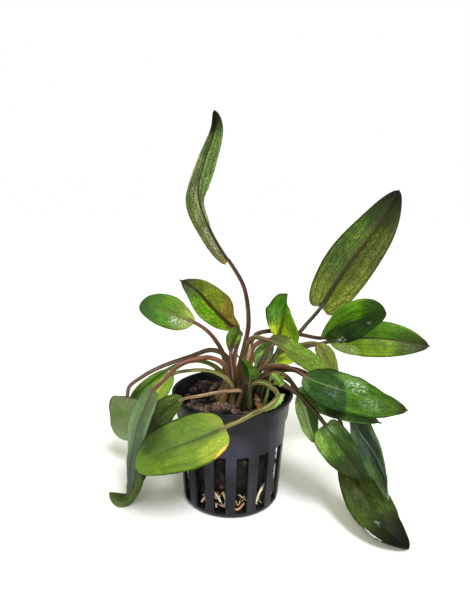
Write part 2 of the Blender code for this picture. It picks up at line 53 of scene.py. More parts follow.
# Pot, medium, crown and roots, with the sizes that the CAD has.
POT_HEIGHT = 51.0
POT_OUTER = [(20.7, 0.0), (22.0, 1.2), (22.3, 2.5), (24.1, 29.8), (24.5, 38.4), (25.5, 40.9),
             (26.1, 47.0), (27.5, 49.9), (27.5, POT_HEIGHT)]
POT_INNER = [(26.3, POT_HEIGHT), (24.9, 47.0), (24.2, 41.5), (23.0, 38.4), (22.8, 29.8), (21.0, 2.5),
             (20.9, 1.6)]
FLOOR_TOP = 1.6
SLOT_COUNT = 15
SLOT_SHARE = 0.53
SLOT_BOTTOM = 2.5
SLOT_TOP = 29.8
MEDIUM_TOP = 44.6
SWELLS = [(-14, 12, 4.4, 80), (-13, -3, -2.4, 24), (-6, -20, 3.4, 45), (16, 6, -2.0, 60)]
CROWN_CENTER = (2.0, -4.0)
CROWN_RADIUS = 10.6
CROWN_EDGE = 46.0
CROWN_RISE = 3.5
ROOT_GAP = 0.85
ROOT_RADIUS = 0.65
ROOT_RING = 19.75
STALK_ROOT_RADIUS = 1.2
STALK_TOP_RADIUS = 0.85
RIM_TO_FLAT = 1.5
MIDRIB_TAPER = 0.65
CURVE_STEPS = 24


class Leaf(NamedTuple):
    """One leaf as the CAD has it: root, stalk, blade, and how the blade is shaped and folded."""
    name: str
    root: tuple
    stalk: list
    blade: list
    width: float
    shape: tuple
    folds: tuple
    faces: list
    stalk_radii: tuple = (STALK_ROOT_RADIUS, STALK_TOP_RADIUS)


LEAVES = [
    Leaf("leaf_tall_twisted", root=(2.4, 170),
         stalk=[(3, -1, 63), (5, -1, 72.5), (6.5, 0, 81.5), (5.5, 2, 93), (3.5, 4, 99.5),
                (-0.5, 6, 106)],
         blade=[(-3, 7, 109.5), (-9, 9, 118.5), (-13, 11, 126.5), (-16.5, 12, 136), (-16.5, 12, 143.5),
                (-13.5, 11, 154), (-9.5, 10, 166.5), (-10, 9, 173)],
         width=14.5, shape=(0.56, 0.5), folds=(52, 52),
         faces=[(-1, -1, 0.2), (0, -1, -0.8), (0.3, -1, -0.3)]),
    Leaf("leaf_upper_left", root=(5.7, 222),
         stalk=[(0, -9.5, 62), (1, -9, 72)],
         blade=[(2.5, -9.5, 80.5), (-2.5, -10.5, 84.5), (-8.5, -12, 91), (-15.5, -13, 99),
                (-22.5, -13, 103.5)],
         width=15.5, shape=(0.9, 0.96), folds=(20, 14),
         faces=[(0, -0.5, 1), (-0.2, -1, 0.4)]),
    Leaf("leaf_young_folded", root=(5.7, 258),
         stalk=[(0, -15.5, 64)],
         blade=[(-1, -15, 71), (-0.5, -13.5, 76), (1, -14, 80.5), (3, -13, 82.5)],
         width=8, shape=(1.2, 0.35), folds=(28, 24),
         faces=[(-0.1, -1, 0.3), (0.1, -1, 0.2)]),
    Leaf("leaf_left_round", root=(5.7, 145),
         stalk=[(-3.5, 2, 58.5), (-4.5, 4.5, 66), (-8, 7.5, 71.5), (-12.5, 11, 75.5)],
         blade=[(-18.5, 14, 78.5), (-25.5, 17, 80), (-31.5, 20, 82), (-38.5, 22, 83.5),
                (-46.5, 24, 83.5)],
         width=16, shape=(0.61, 0.59), folds=(6, 8),
         faces=[(-0.1, -1, 0.3), (-0.1, -1, 0.5)]),
    Leaf("leaf_center_small", root=(2.9, 80),
         stalk=[(12, 3.5, 61), (16, 6.5, 68)],
         blade=[(20, 8, 72.5), (22, 10, 78), (23.5, 12, 85.5), (24.5, 13, 93.5)],
         width=18, shape=(0.45, 0.5), folds=(18, 32),
         faces=[(0.2, -1, 0.4), (-1, -0.7, 0.3)]),
    Leaf("leaf_right_upright", root=(5.7, 36),
         stalk=[(15.5, 6, 57.5), (19.5, 8, 64.5), (23, 10.5, 70), (30, 14, 73.5), (35, 15.5, 79)],
         blade=[(41, 16, 86.5), (46, 18, 94.5), (54.5, 21, 107), (67, 24, 124), (76.5, 26, 141.5)],
         width=24, shape=(0.4, 0.64), folds=(0, 12),
         faces=[(-0.1, -1, 0.5), (-0.3, -1, 0.5)]),
    Leaf("leaf_right_round", root=(5.7, 108),
         stalk=[(6, 1.5, 62), (7, 2.5, 69), (9, 5, 74), (12, 9, 75.5), (22, 13, 75.5), (31, 11, 74.5)],
         blade=[(41, 6, 74.5), (43, 4, 77.5), (48, 2, 82.5), (54, 0, 85.5), (60.5, -2, 87.5),
                (66, -4, 89)],
         width=21, shape=(0.62, 0.5), folds=(44, 34),
         faces=[(0.2, -1, -0.1), (0.1, -1, 0.7)]),
    Leaf("leaf_right_pointed", root=(5.7, 72),
         stalk=[(8, 9, 59.5), (9, 8.5, 68), (13.5, 10, 71.5), (24.5, 14, 70), (33.5, 15, 67.5),
                (39.5, 15, 68.5)],
         blade=[(45.5, 15, 70), (53, 15, 71), (62, 14, 72.5), (74, 12, 72.5), (91.5, 9, 70.5)],
         width=18, shape=(0.62, 0.77), folds=(20, 10),
         faces=[(0.1, -1, 0), (0.1, -1, 0.5)]),
    Leaf("leaf_olive_front", root=(5.7, 294),
         stalk=[(4.5, -10, 66), (5.5, -11, 74.5), (7.5, -12, 79), (11, -13, 79.5)],
         blade=[(15.5, -14.5, 78.5), (20, -15, 76.5), (24.5, -15, 73.5), (30, -14, 70), (39.5, -12, 63)],
         width=12, shape=(0.35, 0.51), folds=(16, 30),
         faces=[(0.1, -0.4, 1), (-0.1, -1, 0.5)]),
    Leaf("leaf_olive_behind", root=(8.7, 43),
         stalk=[(13.5, 10.5, 58), (22, 11.5, 65.5), (31, 9, 70)],
         blade=[(38, 7, 71.5), (40.5, 5, 69), (43, 3, 65), (46.5, 0, 56.5)],
         width=8.5, shape=(0.54, 0.7), folds=(12, 18),
         faces=[(-0.1, -1, 0.9), (0.1, -1, 0.6)]),
    Leaf("leaf_young_yellow", root=(8.7, 67),
         stalk=[(12, 12, 55.5), (16, 13.5, 58)],
         blade=[(19.5, 13, 59), (24.5, 17, 61), (28.5, 20, 62.5), (33, 23, 63)],
         width=9, shape=(0.57, 0.73), folds=(-4, 0),
         faces=[(0, -1, 0.8), (-0.1, -0.9, 1)]),
    Leaf("leaf_right_glossy", root=(5.7, 328),
         stalk=[(9.5, -16, 64.5), (14.5, -16, 68), (21.5, -17, 68.5), (26.5, -20, 67.5)],
         blade=[(29, -22, 66.5), (33, -24, 65), (37.5, -26, 64), (45.5, -29, 62.5), (57, -31, 59.5),
                (68.5, -33, 57)],
         width=19.5, shape=(0.46, 0.72), folds=(-4, -4),
         faces=[(-0.1, -0.7, 1), (0, -0.5, 1)]),
    Leaf("leaf_right_under", root=(5.7, 2),
         stalk=[(12.5, -14, 62.5), (18.5, -16.5, 65.5), (24, -14.5, 62)],
         blade=[(26.5, -15, 58), (30.5, -15.5, 55.5), (36.5, -20, 54), (47, -25.5, 52.5),
                (60, -29, 49.5)],
         width=11, shape=(0.59, 0.81), folds=(10, 20),
         faces=[(0.1, -1, 0.6), (0.1, -1, 1)]),
    Leaf("leaf_right_narrow", root=(8.7, 19),
         stalk=[(14.5, -7, 59.5), (20.5, -6.5, 60.5), (26, -7, 57.5)],
         blade=[(29, -8, 53), (31.5, -10, 47), (33.5, -12, 40.5), (37, -13, 31.5)],
         width=9.5, shape=(0.49, 0.73), folds=(22, 20),
         faces=[(0.2, -1, 0.1), (0.3, -1, 0.1)]),
    Leaf("leaf_right_hanging", root=(8.7, 331),
         stalk=[(13, -15.5, 60.5), (20, -18, 61), (27, -19, 57.5), (31.5, -25, 54.5), (35, -26.5, 51)],
         blade=[(38, -26, 47), (41, -27, 43), (45, -29, 37.5), (49.5, -31, 31.5), (54.5, -32, 26)],
         width=16.5, shape=(0.3, 0.72), folds=(22, 4),
         faces=[(-0.3, -1, 0.1), (-0.4, -1, -0.1)]),
    Leaf("leaf_right_folded", root=(8.7, 355),
         stalk=[(16.5, -12.5, 65), (26.5, -12, 65.5), (37, -15, 61), (45, -18.5, 55)],
         blade=[(49, -21, 49.5), (51.5, -23, 44.5), (56, -26, 39), (58.5, -27.5, 35.5), (61, -29, 31),
                (63, -30, 26), (64.5, -31.5, 17)],
         width=17, shape=(0.35, 0.76), folds=(52, 50),
         faces=[(0.5, -1, 0.1), (-1, -0.5, -0.3)]),
    Leaf("leaf_right_table", root=(2.9, 20),
         stalk=[(19, -0.5, 60), (30, -2, 61), (41, -5, 52.5), (47, -8, 43)],
         blade=[(50, -11, 33), (53, -18.5, 21.5), (58, -26.5, 12.5), (63, -33.5, 6), (71.5, -40, 1)],
         width=18.5, shape=(0.71, 0.5), folds=(16, 16),
         faces=[(-0.2, -1, 0.6), (-0.4, -1, 0.6), (0.6, -0.2, 1)]),
    Leaf("leaf_left_far", root=(8.7, 174),
         stalk=[(-1, -2, 60), (-3, 0, 66.5), (-9.5, 3.5, 68.5), (-20, 7, 64), (-34.5, 10, 57.5),
                (-44.5, 12, 51), (-50, 13, 46)],
         blade=[(-51, 13, 41), (-52, 13.5, 35), (-52.5, 14, 28.5), (-53, 15, 17)],
         width=18, shape=(0.2, 0.34), folds=(-4, -4),
         faces=[(-0.2, -1, 0), (-0.2, -1, 0.3)]),
    Leaf("leaf_left_hanging", root=(8.7, 220),
         stalk=[(-1.5, -12.5, 61.5), (-4.5, -11.5, 67.5), (-10, -12, 70), (-15.5, -14, 70),
                (-21, -16, 68.5), (-25.5, -18, 65.5), (-29, -20, 62)],
         blade=[(-32.5, -21, 58.5), (-34.5, -22, 54), (-36.5, -23, 49), (-39, -24, 42),
                (-40.5, -24, 33), (-42, -24, 23), (-42.5, -24, 13.5)],
         width=18, shape=(0.35, 0.62), folds=(8, -4),
         faces=[(-1, -0.8, 0.4), (-1, -0.7, 0)]),
    Leaf("leaf_front_left", root=(8.7, 305),
         stalk=[(7.5, -17, 60), (11.5, -20, 62.5), (15.5, -22, 61.5), (18, -28, 60), (14, -34, 58),
                (7.5, -36, 55.5), (2.5, -37, 53)],
         blade=[(-2.5, -38, 51), (-10, -39, 47.6), (-16.5, -40, 45.2), (-27.5, -41, 41.2),
                (-36.5, -41, 34.8)],
         width=22, shape=(0.36, 0.55), folds=(-4, -4),
         faces=[(0, -1, 0.8), (-0.1, -0.75, 0.9)]),
    Leaf("leaf_left_table", root=(8.7, 268),
         stalk=[(3.8, -16.2, 56.6), (0, -18.8, 58), (-6.5, -19.2, 57.2), (-13.5, -19.5, 55.8)],
         blade=[(-20.5, -19, 54), (-27, -18, 49.5), (-33.5, -16, 40.5), (-38.5, -13, 29.5),
                (-43, -10, 16.5), (-45, -10, 7), (-48.5, -10.5, 1.5), (-56.5, -5.5, 1.5)],
         width=19.5, shape=(0.51, 0.71), folds=(-4, -4),
         faces=[(-0.4, -0.6, 1), (-1, -0.9, 0.3), (0, 0.1, 1)], stalk_radii=(0.85, 0.6)),
    Leaf("leaf_left_bright", root=(8.7, 255),
         stalk=[(-0.1, -15.5, 57.5), (-1.4, -17.2, 61.4), (-5, -16.4, 64), (-12, -12.8, 64.6),
                (-19, -10, 63.3)],
         blade=[(-26, -7, 60.5), (-29.5, -6, 55.5), (-33.5, -5, 48.5), (-38.5, -4, 39)],
         width=7, shape=(0.49, 0.81), folds=(8, 14),
         faces=[(0, -1, 0.3), (-0.3, -1, 0.4)], stalk_radii=(1.0, 0.7)),
    Leaf("leaf_left_behind", root=(8.7, 150),
         stalk=[(-3, 5, 53.5), (-8.5, 9.5, 58.5), (-16.5, 13, 60), (-24.5, 16, 57.5)],
         blade=[(-32, 18, 53.5), (-40, 20, 46.5), (-46.5, 22, 40), (-52.5, 23, 31.5)],
         width=9, shape=(0.52, 0.55), folds=(8, 38),
         faces=[(0.2, -1, 0.2), (0.1, -1, 0.1)]),
    Leaf("leaf_young_front", root=(8.7, 286),
         stalk=[],
         blade=[(6.5, -20.5, 62.5), (6, -20, 67), (4, -15, 69.5), (1.5, -15, 72.5)],
         width=8, shape=(0.35, 1.1), folds=(26, 14),
         faces=[(0.6, -1, 0.8), (0.1, -1, 0.6)]),
    Leaf("leaf_young_behind", root=(8.7, 91),
         stalk=[(9, 13, 53)],
         blade=[(11, 16.5, 56.5), (14, 16, 62.5), (18.5, 18, 68)],
         width=8.5, shape=(0.59, 0.54), folds=(10, 8),
         faces=[(0, -1, 0.8), (0, -1, 0.7)]),
]

SPROUTS = [
    Leaf("seedling_center", root=(14.5, 318),
         stalk=[(14.5, -17.5, 56), (15.3, -19.4, 62.5)],
         blade=[(16.2, -21, 66.5), (18.2, -22.3, 65), (20.2, -23.2, 62.4)],
         width=5, shape=(0.5, 0.5), folds=(8, 8), faces=[(0, -1, 1), (0, -1, 1)],
         stalk_radii=(0.6, 0.45)),
    Leaf("seedling_rim", root=(17.5, 329),
         stalk=[(20, -14.5, 52)],
         blade=[(21.5, -17.5, 56), (18, -23, 55.5), (13.5, -27.5, 53)],
         width=4, shape=(0.6, 0.7), folds=(10, 10), faces=[(0.5, -1, 0.6), (0.3, -1, 0.4)],
         stalk_radii=(0.6, 0.45)),
    Leaf("sheath_dry", root=(2.6, 255),
         stalk=[(4.5, -6.5, 58.5)],
         blade=[(5, -6.5, 63), (5.5, -6, 68), (7, -6, 75.5)],
         width=2.4, shape=(0.5, 0.5), folds=(10, 10), faces=[(0, -1, 0.2), (0.2, -1, 0.1)],
         stalk_radii=(0.7, 0.6)),
]

ROOTS = [
    ("root_front_left", -130, 28, [4.0, 8.5, 10.5, 6.5]),
    ("root_front_center", -100, 28, [11.5, 5.5, 3.2, 6.0]),
    ("root_front_right", -66, 26, [3.2, 4.5, 9.5, 12.0]),
    ("root_right", -36, 40, [9.0, 4.0, 3.4, 7.5]),
    ("root_back_right", 30, 42, [5.0, 10.0, 6.0, 3.4]),
    ("root_back_left", 100, 44, [10.5, 4.5, 3.4, 8.0]),
    ("root_left", 170, 36, [3.4, 7.0, 11.0, 7.5]),
]


WHITE = (255, 255, 255)


class Mark(NamedTuple):
    """A patch on a blade: its place and half sizes across (-1 to 1) and along (0 to 1), and its colour."""
    across: float
    along: float
    wide: float
    long: float
    color: tuple = WHITE
    strength: float = 0.8
    soft: float = 0.6


class Look(NamedTuple):
    """How one leaf looks.

    The first colours are for most of the blade, its mottling, the part near the stalk, the tip, the midrib
    and the stalk. right is for the right half where that differs, beside_rib for the band beside the
    midrib, and sheath for the stalk's foot. lobes are how far the two base corners reach back along the
    stalk, ripple is the wave of the margin and rib_width half the width of the midrib, in millimetres.
    halves and sides change the width and the outline of the left and right half, and dome is the bulge of
    each. marks are coloured patches, a few of them painted shade and a few painted highlights, and sheen is
    wet ones, glossier and painted paler as a painted highlight. The other values are shares from 0 to about
    1.
    """
    slot: str
    main: tuple
    second: tuple
    base: tuple
    tip: tuple
    rib: tuple
    stalk: tuple
    right: tuple = None
    lobes: tuple = (0.0, 0.0)
    ripple: float = 0.5
    dome: float = 0.5
    rib_width: float = 0.8
    rib_fade: float = 0.6
    veins: float = 0.35
    halo: float = 0.3
    tip_from: float = 0.86
    rough: float = 0.36
    gloss: float = 0.12
    base_to: float = 0.34
    beside_rib: tuple = None
    split: float = 0.24
    halves: tuple = (1.0, 1.0)
    sides: tuple = None
    marks: tuple = ()
    sheen: tuple = ()
    sheath: tuple = (146, 122, 66)
    mottle: float = 1.0


RED_STALK = (122, 78, 60)
BROWN_STALK = (92, 64, 46)
OLIVE_STALK = (124, 120, 62)
GREEN_STALK = (124, 124, 62)

LOOKS = {
    "leaf_tall_twisted": Look(
        "leaf_olive", (140, 154, 100), (100, 122, 62), (124, 120, 60), (14, 18, 12), (40, 26, 24),
        (84, 48, 36), right=(126, 158, 82), lobes=(2.8, 0.4), ripple=0.4, rib_width=1.1, rib_fade=0.05,
        # beside_rib, pale here, is a painted reflection along the fold beside the midrib.
        veins=1.2, halo=0.75, beside_rib=(176, 170, 144), tip_from=0.87, sides=((0.42, 0.48), (0.56, 0.5)),
        marks=(Mark(-0.5, 0.03, 0.5, 0.05, (140, 112, 40)), Mark(-0.9, 0.24, 0.5, 0.24, (90, 100, 44)),
               # This mark is a painted reflection beside the midrib near the base, and the next one a
               # painted highlight across the right half.
               Mark(-0.3, 0.13, 0.24, 0.17, (214, 208, 168)),
               Mark(0.5, 0.33, 0.5, 0.1, (222, 232, 182), 0.9),
               Mark(0.7, 0.72, 0.5, 0.14, (92, 122, 56), 0.6),
               Mark(-0.5, 0.92, 0.9, 0.09, (16, 18, 12), 0.9))),
    "leaf_upper_left": Look(
        "leaf_olive", (104, 152, 14), (84, 130, 12), (112, 108, 28), (36, 22, 20), (46, 26, 18), RED_STALK,
        right=(116, 130, 28), sides=((0.9, 0.96), (0.74, 0.98)), halves=(1.0, 1.08), rib_width=1.8,
        rib_fade=0.0, veins=0.9, halo=0.6,
        marks=(Mark(0.6, 0.26, 0.7, 0.24, (144, 112, 40), 0.75),
               Mark(1.0, 0.45, 0.3, 0.4, (112, 84, 38), 0.5), Mark(0.8, 0.06, 0.8, 0.1, (96, 60, 38), 0.7),
               Mark(0.1, 0.84, 1.6, 0.2, (58, 82, 18), 0.75), Mark(-0.3, 0.13, 0.45, 0.14, (84, 60, 24)))),
    "leaf_young_folded": Look(
        "leaf_olive", (92, 128, 26), (74, 104, 24), (92, 78, 40), (54, 50, 28), (62, 42, 32), (84, 54, 40),
        rib_width=2.0, rib_fade=0.1, veins=0.7, sides=((1.2, 0.35), (1.4, 0.3)), halves=(1.05, 0.6),
        base_to=0.75, sheath=(104, 84, 54),
        marks=(Mark(-0.7, 0.7, 0.8, 0.25, (86, 124, 26)), Mark(0.8, 0.6, 0.7, 0.4, (100, 152, 32), 0.85))),
    "leaf_left_round": Look(
        "leaf_green", (81, 127, 32), (66, 110, 32), (164, 176, 84), (48, 80, 34), (112, 100, 56), RED_STALK,
        rib_fade=1.0, rough=0.3, veins=0.3, base_to=0.5, tip_from=0.6, mottle=0.6,
        marks=(Mark(0.6, 0.45, 0.5, 0.3, (103, 130, 38), 0.5),
               Mark(0.0, 0.02, 0.5, 0.16, (120, 84, 52), 0.75)),
        sheen=(Mark(-0.38, 0.24, 0.42, 0.24),)),
    "leaf_center_small": Look(
        "leaf_bright", (74, 128, 10), (52, 102, 12), (164, 182, 22), (62, 80, 34), (66, 70, 14),
        BROWN_STALK, right=(92, 146, 16), rib_fade=0.7, tip_from=0.95, ripple=1.0, base_to=0.6, veins=0.65,
        rib_width=1.5, sides=((0.6, 0.42), (0.24, 1.4)), halves=(0.95, 1.15), mottle=0.8,
        marks=(Mark(0.3, 0.99, 0.5, 0.04, (88, 56, 60)), Mark(-0.9, 0.5, 0.3, 0.4, (44, 92, 20), 0.5),
               Mark(-0.6, 0.14, 0.6, 0.16, (186, 204, 44), 0.7),
               Mark(0.8, 0.16, 0.4, 0.2, (84, 128, 16), 0.7)),
        sheen=(Mark(0.5, 0.2, 0.15, 0.06, strength=0.2),)),
    "leaf_right_upright": Look(
        "leaf_olive", (87, 110, 28), (60, 85, 23), (122, 138, 42), (10, 14, 6), (50, 38, 20), (66, 58, 36),
        right=(89, 101, 30), lobes=(3.0, 2.6), sides=((0.42, 0.64), (0.35, 0.64)), rib_width=1.7,
        rib_fade=0.45, veins=0.95, ripple=0.0, dome=0.6, halo=0.5, tip_from=0.84,
        marks=(Mark(0.85, 0.2, 0.5, 0.24, (128, 136, 46), 0.6),
               Mark(-0.8, 0.68, 0.4, 0.2, (78, 116, 24), 0.6), Mark(0.0, 0.86, 2.0, 0.26, (34, 50, 8), 0.9),
               Mark(-0.2, 0.35, 0.5, 0.2, (74, 92, 38), 0.4), Mark(0.3, 0.56, 0.6, 0.12, (68, 84, 34), 0.6),
               Mark(0.95, 0.6, 0.25, 0.4, (64, 72, 28), 0.5))),
    "leaf_right_round": Look(
        "leaf_green", (98, 146, 24), (74, 122, 18), (64, 88, 24), (36, 58, 14), (34, 52, 18), BROWN_STALK,
        # right, the dark lower half, is painted shade, and the second mark is painted shade at that half's
        # far end.
        right=(18, 34, 20), split=0.04, rough=0.32, veins=0.5, mottle=0.65, tip_from=0.8,
        marks=(Mark(-0.3, 0.86, 1.2, 0.22, (44, 74, 16)), Mark(0.25, 0.8, 0.5, 0.24, (20, 38, 16))),
        sheen=(Mark(0.75, 0.2, 0.25, 0.12), Mark(0.45, 0.75, 0.12, 0.05, strength=0.3))),
    "leaf_right_pointed": Look(
        "leaf_bright", (84, 132, 16), (72, 118, 16), (168, 184, 82), (42, 34, 18), (54, 52, 18), RED_STALK,
        right=(118, 152, 26), rib_width=1.0, rib_fade=0.2, rough=0.32, veins=0.6, base_to=0.26, split=0.06,
        mottle=0.55,
        marks=(Mark(0.9, 0.14, 0.8, 0.2, (188, 220, 100)), Mark(-0.3, 0.75, 0.6, 0.25, (58, 92, 20), 0.7),
               Mark(0.3, 0.84, 1.4, 0.26, (50, 70, 14), 0.9),
               Mark(0.4, 0.5, 0.4, 0.14, (84, 112, 26), 0.7)),
        sheen=(Mark(0.62, 0.17, 0.4, 0.11),)),
    "leaf_olive_front": Look(
        "leaf_olive", (126, 155, 50), (101, 132, 43), (72, 68, 32), (112, 146, 44), (98, 92, 46),
        (104, 90, 56), lobes=(1.4, 0.6), rib_width=0.6, rib_fade=0.7, veins=0.9, mottle=0.7,
        sheath=(132, 108, 78),
        marks=(Mark(0.9, 0.3, 0.35, 0.5, (104, 98, 52), 0.6), Mark(-0.6, 0.1, 1.0, 0.16, (72, 72, 30)))),
    "leaf_olive_behind": Look(
        "leaf_olive", (119, 130, 42), (104, 119, 37), (138, 134, 66), (110, 128, 38), (84, 86, 40),
        OLIVE_STALK, veins=0.5, right=(106, 116, 50), mottle=0.7,
        marks=(Mark(0.9, 0.5, 0.3, 0.6, (98, 84, 54), 0.6),)),
    "leaf_young_yellow": Look(
        "leaf_bright", (186, 218, 44), (164, 202, 44), (182, 212, 54), (150, 190, 46), (136, 158, 44),
        OLIVE_STALK, veins=0.3, mottle=0.5),
    "leaf_right_glossy": Look(
        "leaf_green", (72, 118, 26), (54, 94, 24), (56, 82, 40), (46, 40, 28), (96, 122, 58), BROWN_STALK,
        rib_width=0.45, rib_fade=0.7, rough=0.3, gloss=0.05, veins=0.6, halo=0.15, tip_from=0.93,
        base_to=0.1, sheath=(26, 26, 16),
        # The first mark is a painted shadow: the part of the blade near the stalk, darkened as if shaded by
        # the leaves above.
        marks=(Mark(1.0, 0.0, 2.6, 0.46, (38, 66, 32), 0.95, 0.06),
               Mark(-0.7, 0.45, 0.5, 0.2, (116, 160, 80), 0.5),
               Mark(0.0, 0.86, 1.6, 0.22, (56, 84, 24), 0.7),
               Mark(0.6, 0.02, 0.6, 0.1, (106, 140, 76), 0.5)),
        sheen=(Mark(-0.4, 0.5, 0.4, 0.14), Mark(0.2, 0.3, 0.4, 0.1, strength=0.15),
               Mark(0.3, 0.66, 0.5, 0.14, strength=0.25))),
    "leaf_right_under": Look(
        "leaf_dark", (122, 166, 86), (98, 136, 68), (120, 150, 70), (84, 100, 60), (90, 96, 50),
        BROWN_STALK, veins=0.4,
        marks=(Mark(0.3, 0.52, 1.6, 0.13, (44, 60, 30), 0.85),)),
    "leaf_right_narrow": Look(
        "leaf_dark", (78, 114, 42), (62, 94, 36), (128, 158, 70), (44, 54, 24), (186, 200, 150),
        BROWN_STALK, right=(166, 200, 112), rib_width=1.3, rib_fade=0.5, veins=0.4, split=0.1,
        marks=(Mark(1.0, 0.4, 0.45, 0.7, (172, 200, 128)),
               # The second mark is a painted highlight, a pale streak beside the midrib.
               Mark(0.1, 0.4, 0.25, 0.24, (186, 200, 172), 0.7))),
    "leaf_right_hanging": Look(
        "leaf_green", (57, 86, 26), (42, 67, 22), (88, 124, 54), (22, 28, 14), (58, 70, 30), (70, 58, 38),
        right=(80, 117, 37), lobes=(2.2, 0.3), veins=0.7, mottle=0.8, halves=(0.96, 1.07),
        sides=((0.35, 0.78), (0.35, 0.75)), sheath=(30, 28, 18),
        marks=(Mark(0.1, 0.1, 0.3, 0.12, (120, 134, 100), 0.4),
               Mark(0.9, 0.22, 0.6, 0.24, (146, 186, 76), 0.85),
               Mark(0.1, 0.74, 2.0, 0.32, (36, 50, 20), 0.85),
               Mark(-0.2, 0.12, 0.4, 0.1, (118, 150, 78), 0.7)),
        sheen=(Mark(-0.1, 0.1, 0.15, 0.06),)),
    "leaf_right_folded": Look(
        "leaf_dark", (74, 88, 78), (56, 70, 62), (112, 136, 92), (110, 132, 92), (138, 156, 140),
        BROWN_STALK, right=(54, 72, 50), rib_width=0.5, rib_fade=0.2, veins=0.6, rough=0.28,
        marks=(Mark(-0.95, 0.25, 0.35, 0.6, (112, 144, 88)), Mark(0.8, 0.68, 0.7, 0.26, (66, 98, 40)),
               Mark(0.5, 0.08, 1.0, 0.16, (124, 148, 110)),
               Mark(-0.3, 0.6, 0.4, 0.14, (124, 142, 112), 0.7))),
    "leaf_right_table": Look(
        "leaf_dark", (70, 89, 33), (54, 71, 27), (128, 148, 88), (8, 12, 8), (56, 52, 30), BROWN_STALK,
        rib_width=0.9, rib_fade=0.7, veins=0.55, mottle=0.75, tip_from=0.72, rough=0.32, gloss=0.06,
        halo=0.4,
        marks=(Mark(-0.5, 0.3, 0.5, 0.3, (82, 104, 36), 0.5), Mark(0.0, 0.84, 2.0, 0.2, (26, 38, 16), 0.85),
               # This mark is a painted highlight, a thin pale line along the lower margin, where the last
               # sheen mark also lies.
               Mark(0.9, 0.76, 0.035, 0.06, (216, 224, 216), 0.9, 0.1)),
        sheen=(Mark(0.2, 0.72, 0.2, 0.04, strength=0.45),
               Mark(0.97, 0.72, 0.06, 0.1, strength=0.9, soft=0.1))),
    "leaf_left_far": Look(
        "leaf_pale", (101, 119, 71), (90, 110, 60), (104, 120, 76), (122, 140, 98), (104, 122, 78),
        (104, 78, 66), rib_width=0.3, veins=0.3, rough=0.42, lobes=(0.2, -1.2), halo=0.0,
        sides=((0.14, 0.3), (0.14, 0.3)), mottle=0.35, tip_from=0.7, sheath=(126, 108, 66),
        marks=(Mark(0.2, 0.38, 0.6, 0.07, (76, 112, 44)), Mark(0.0, 0.2, 1.4, 0.1, (96, 118, 72), 0.4))),
    "leaf_left_hanging": Look(
        "leaf_pale", (85, 118, 64), (69, 98, 56), (104, 120, 66), (18, 28, 18), (84, 78, 60), RED_STALK,
        right=(99, 133, 79), lobes=(1.6, 1.2), rib_width=1.3, rib_fade=0.9, veins=0.5, halo=0.5,
        beside_rib=(72, 90, 66), tip_from=0.76, mottle=0.6, sheath=(166, 142, 84),
        marks=(Mark(0.85, 0.38, 0.5, 0.28, (128, 154, 108), 0.7),
               Mark(-0.5, 0.66, 1.0, 0.32, (40, 62, 40), 0.85),
               Mark(0.5, 0.84, 1.2, 0.26, (38, 60, 42), 0.85),
               Mark(-0.9, 0.2, 0.3, 0.2, (118, 150, 98), 0.6))),
    "leaf_front_left": Look(
        "leaf_bright", (102, 129, 34), (88, 115, 30), (132, 152, 50), (90, 120, 38), (64, 80, 36),
        OLIVE_STALK, right=(90, 118, 40), lobes=(0.7, 0.4), rib_width=0.9, rib_fade=0.7, halo=0.9,
        rough=0.42, beside_rib=(84, 104, 46), sides=((0.33, 0.5), (0.4, 0.5)), halves=(0.92, 1.02),
        mottle=0.35, sheath=(60, 62, 36),
        marks=(Mark(0.9, 0.8, 1.0, 0.3, (38, 52, 20), 0.85), Mark(0.0, 0.66, 0.5, 0.2, (62, 84, 32), 0.7),
               Mark(-0.7, 0.16, 0.6, 0.22, (160, 178, 56), 0.6),
               Mark(-1.04, 0.13, 0.22, 0.1, (250, 200, 84), 0.98, 0.3))),
    "leaf_left_table": Look(
        "leaf_dark", (66, 89, 31), (46, 65, 24), (84, 102, 42), (66, 76, 38), (54, 60, 28), (176, 142, 106),
        veins=0.45, ripple=0.0, dome=0.2, gloss=0.05, sheath=(30, 28, 16),
        marks=(Mark(0.0, 0.74, 1.4, 0.16, (100, 124, 54)), Mark(0.0, 0.34, 1.6, 0.15, (22, 34, 14), 0.85),
               Mark(0.9, 0.08, 0.5, 0.12, (100, 120, 56), 0.6), Mark(-0.8, 0.92, 0.5, 0.1, (122, 142, 88)),
               Mark(0.5, 0.93, 0.8, 0.09, (54, 54, 36)))),
    "leaf_left_bright": Look(
        "leaf_bright", (184, 210, 86), (158, 194, 70), (134, 164, 52), (180, 206, 100), (130, 156, 66),
        GREEN_STALK, veins=0.6, mottle=0.5, sheath=(86, 74, 46)),
    "leaf_left_behind": Look(
        "leaf_bright", (128, 178, 58), (106, 156, 48), (134, 178, 54), (70, 82, 46), (70, 100, 32),
        GREEN_STALK, veins=0.5, tip_from=0.9, right=(130, 168, 66), mottle=0.7,
        marks=(Mark(0.0, 0.8, 1.4, 0.25, (70, 90, 44), 0.7),)),
    "leaf_young_front": Look(
        "leaf_bright", (32, 50, 12), (26, 42, 10), (58, 74, 18), (26, 46, 10), (28, 38, 12), (56, 50, 32),
        right=(60, 92, 2), split=0.04, rib_fade=0.1, veins=0.5, sides=((0.45, 1.07), (0.16, 1.25)),
        halves=(0.55, 1.3), sheath=(44, 44, 28)),
    "leaf_young_behind": Look(
        "leaf_dark", (164, 210, 104), (150, 204, 96), (150, 190, 100), (110, 150, 110), (90, 120, 70),
        OLIVE_STALK, right=(112, 168, 112), split=0.04, rough=0.3, veins=0.4,
        sheen=(Mark(0.6, 0.55, 0.35, 0.25, strength=0.4),)),
    "seedling_center": Look(
        "seedling", (86, 113, 24), (70, 99, 22), (92, 118, 40), (116, 150, 58), (132, 158, 78),
        (132, 154, 72), halo=0.0, ripple=0.2, mottle=0.5),
    "seedling_rim": Look(
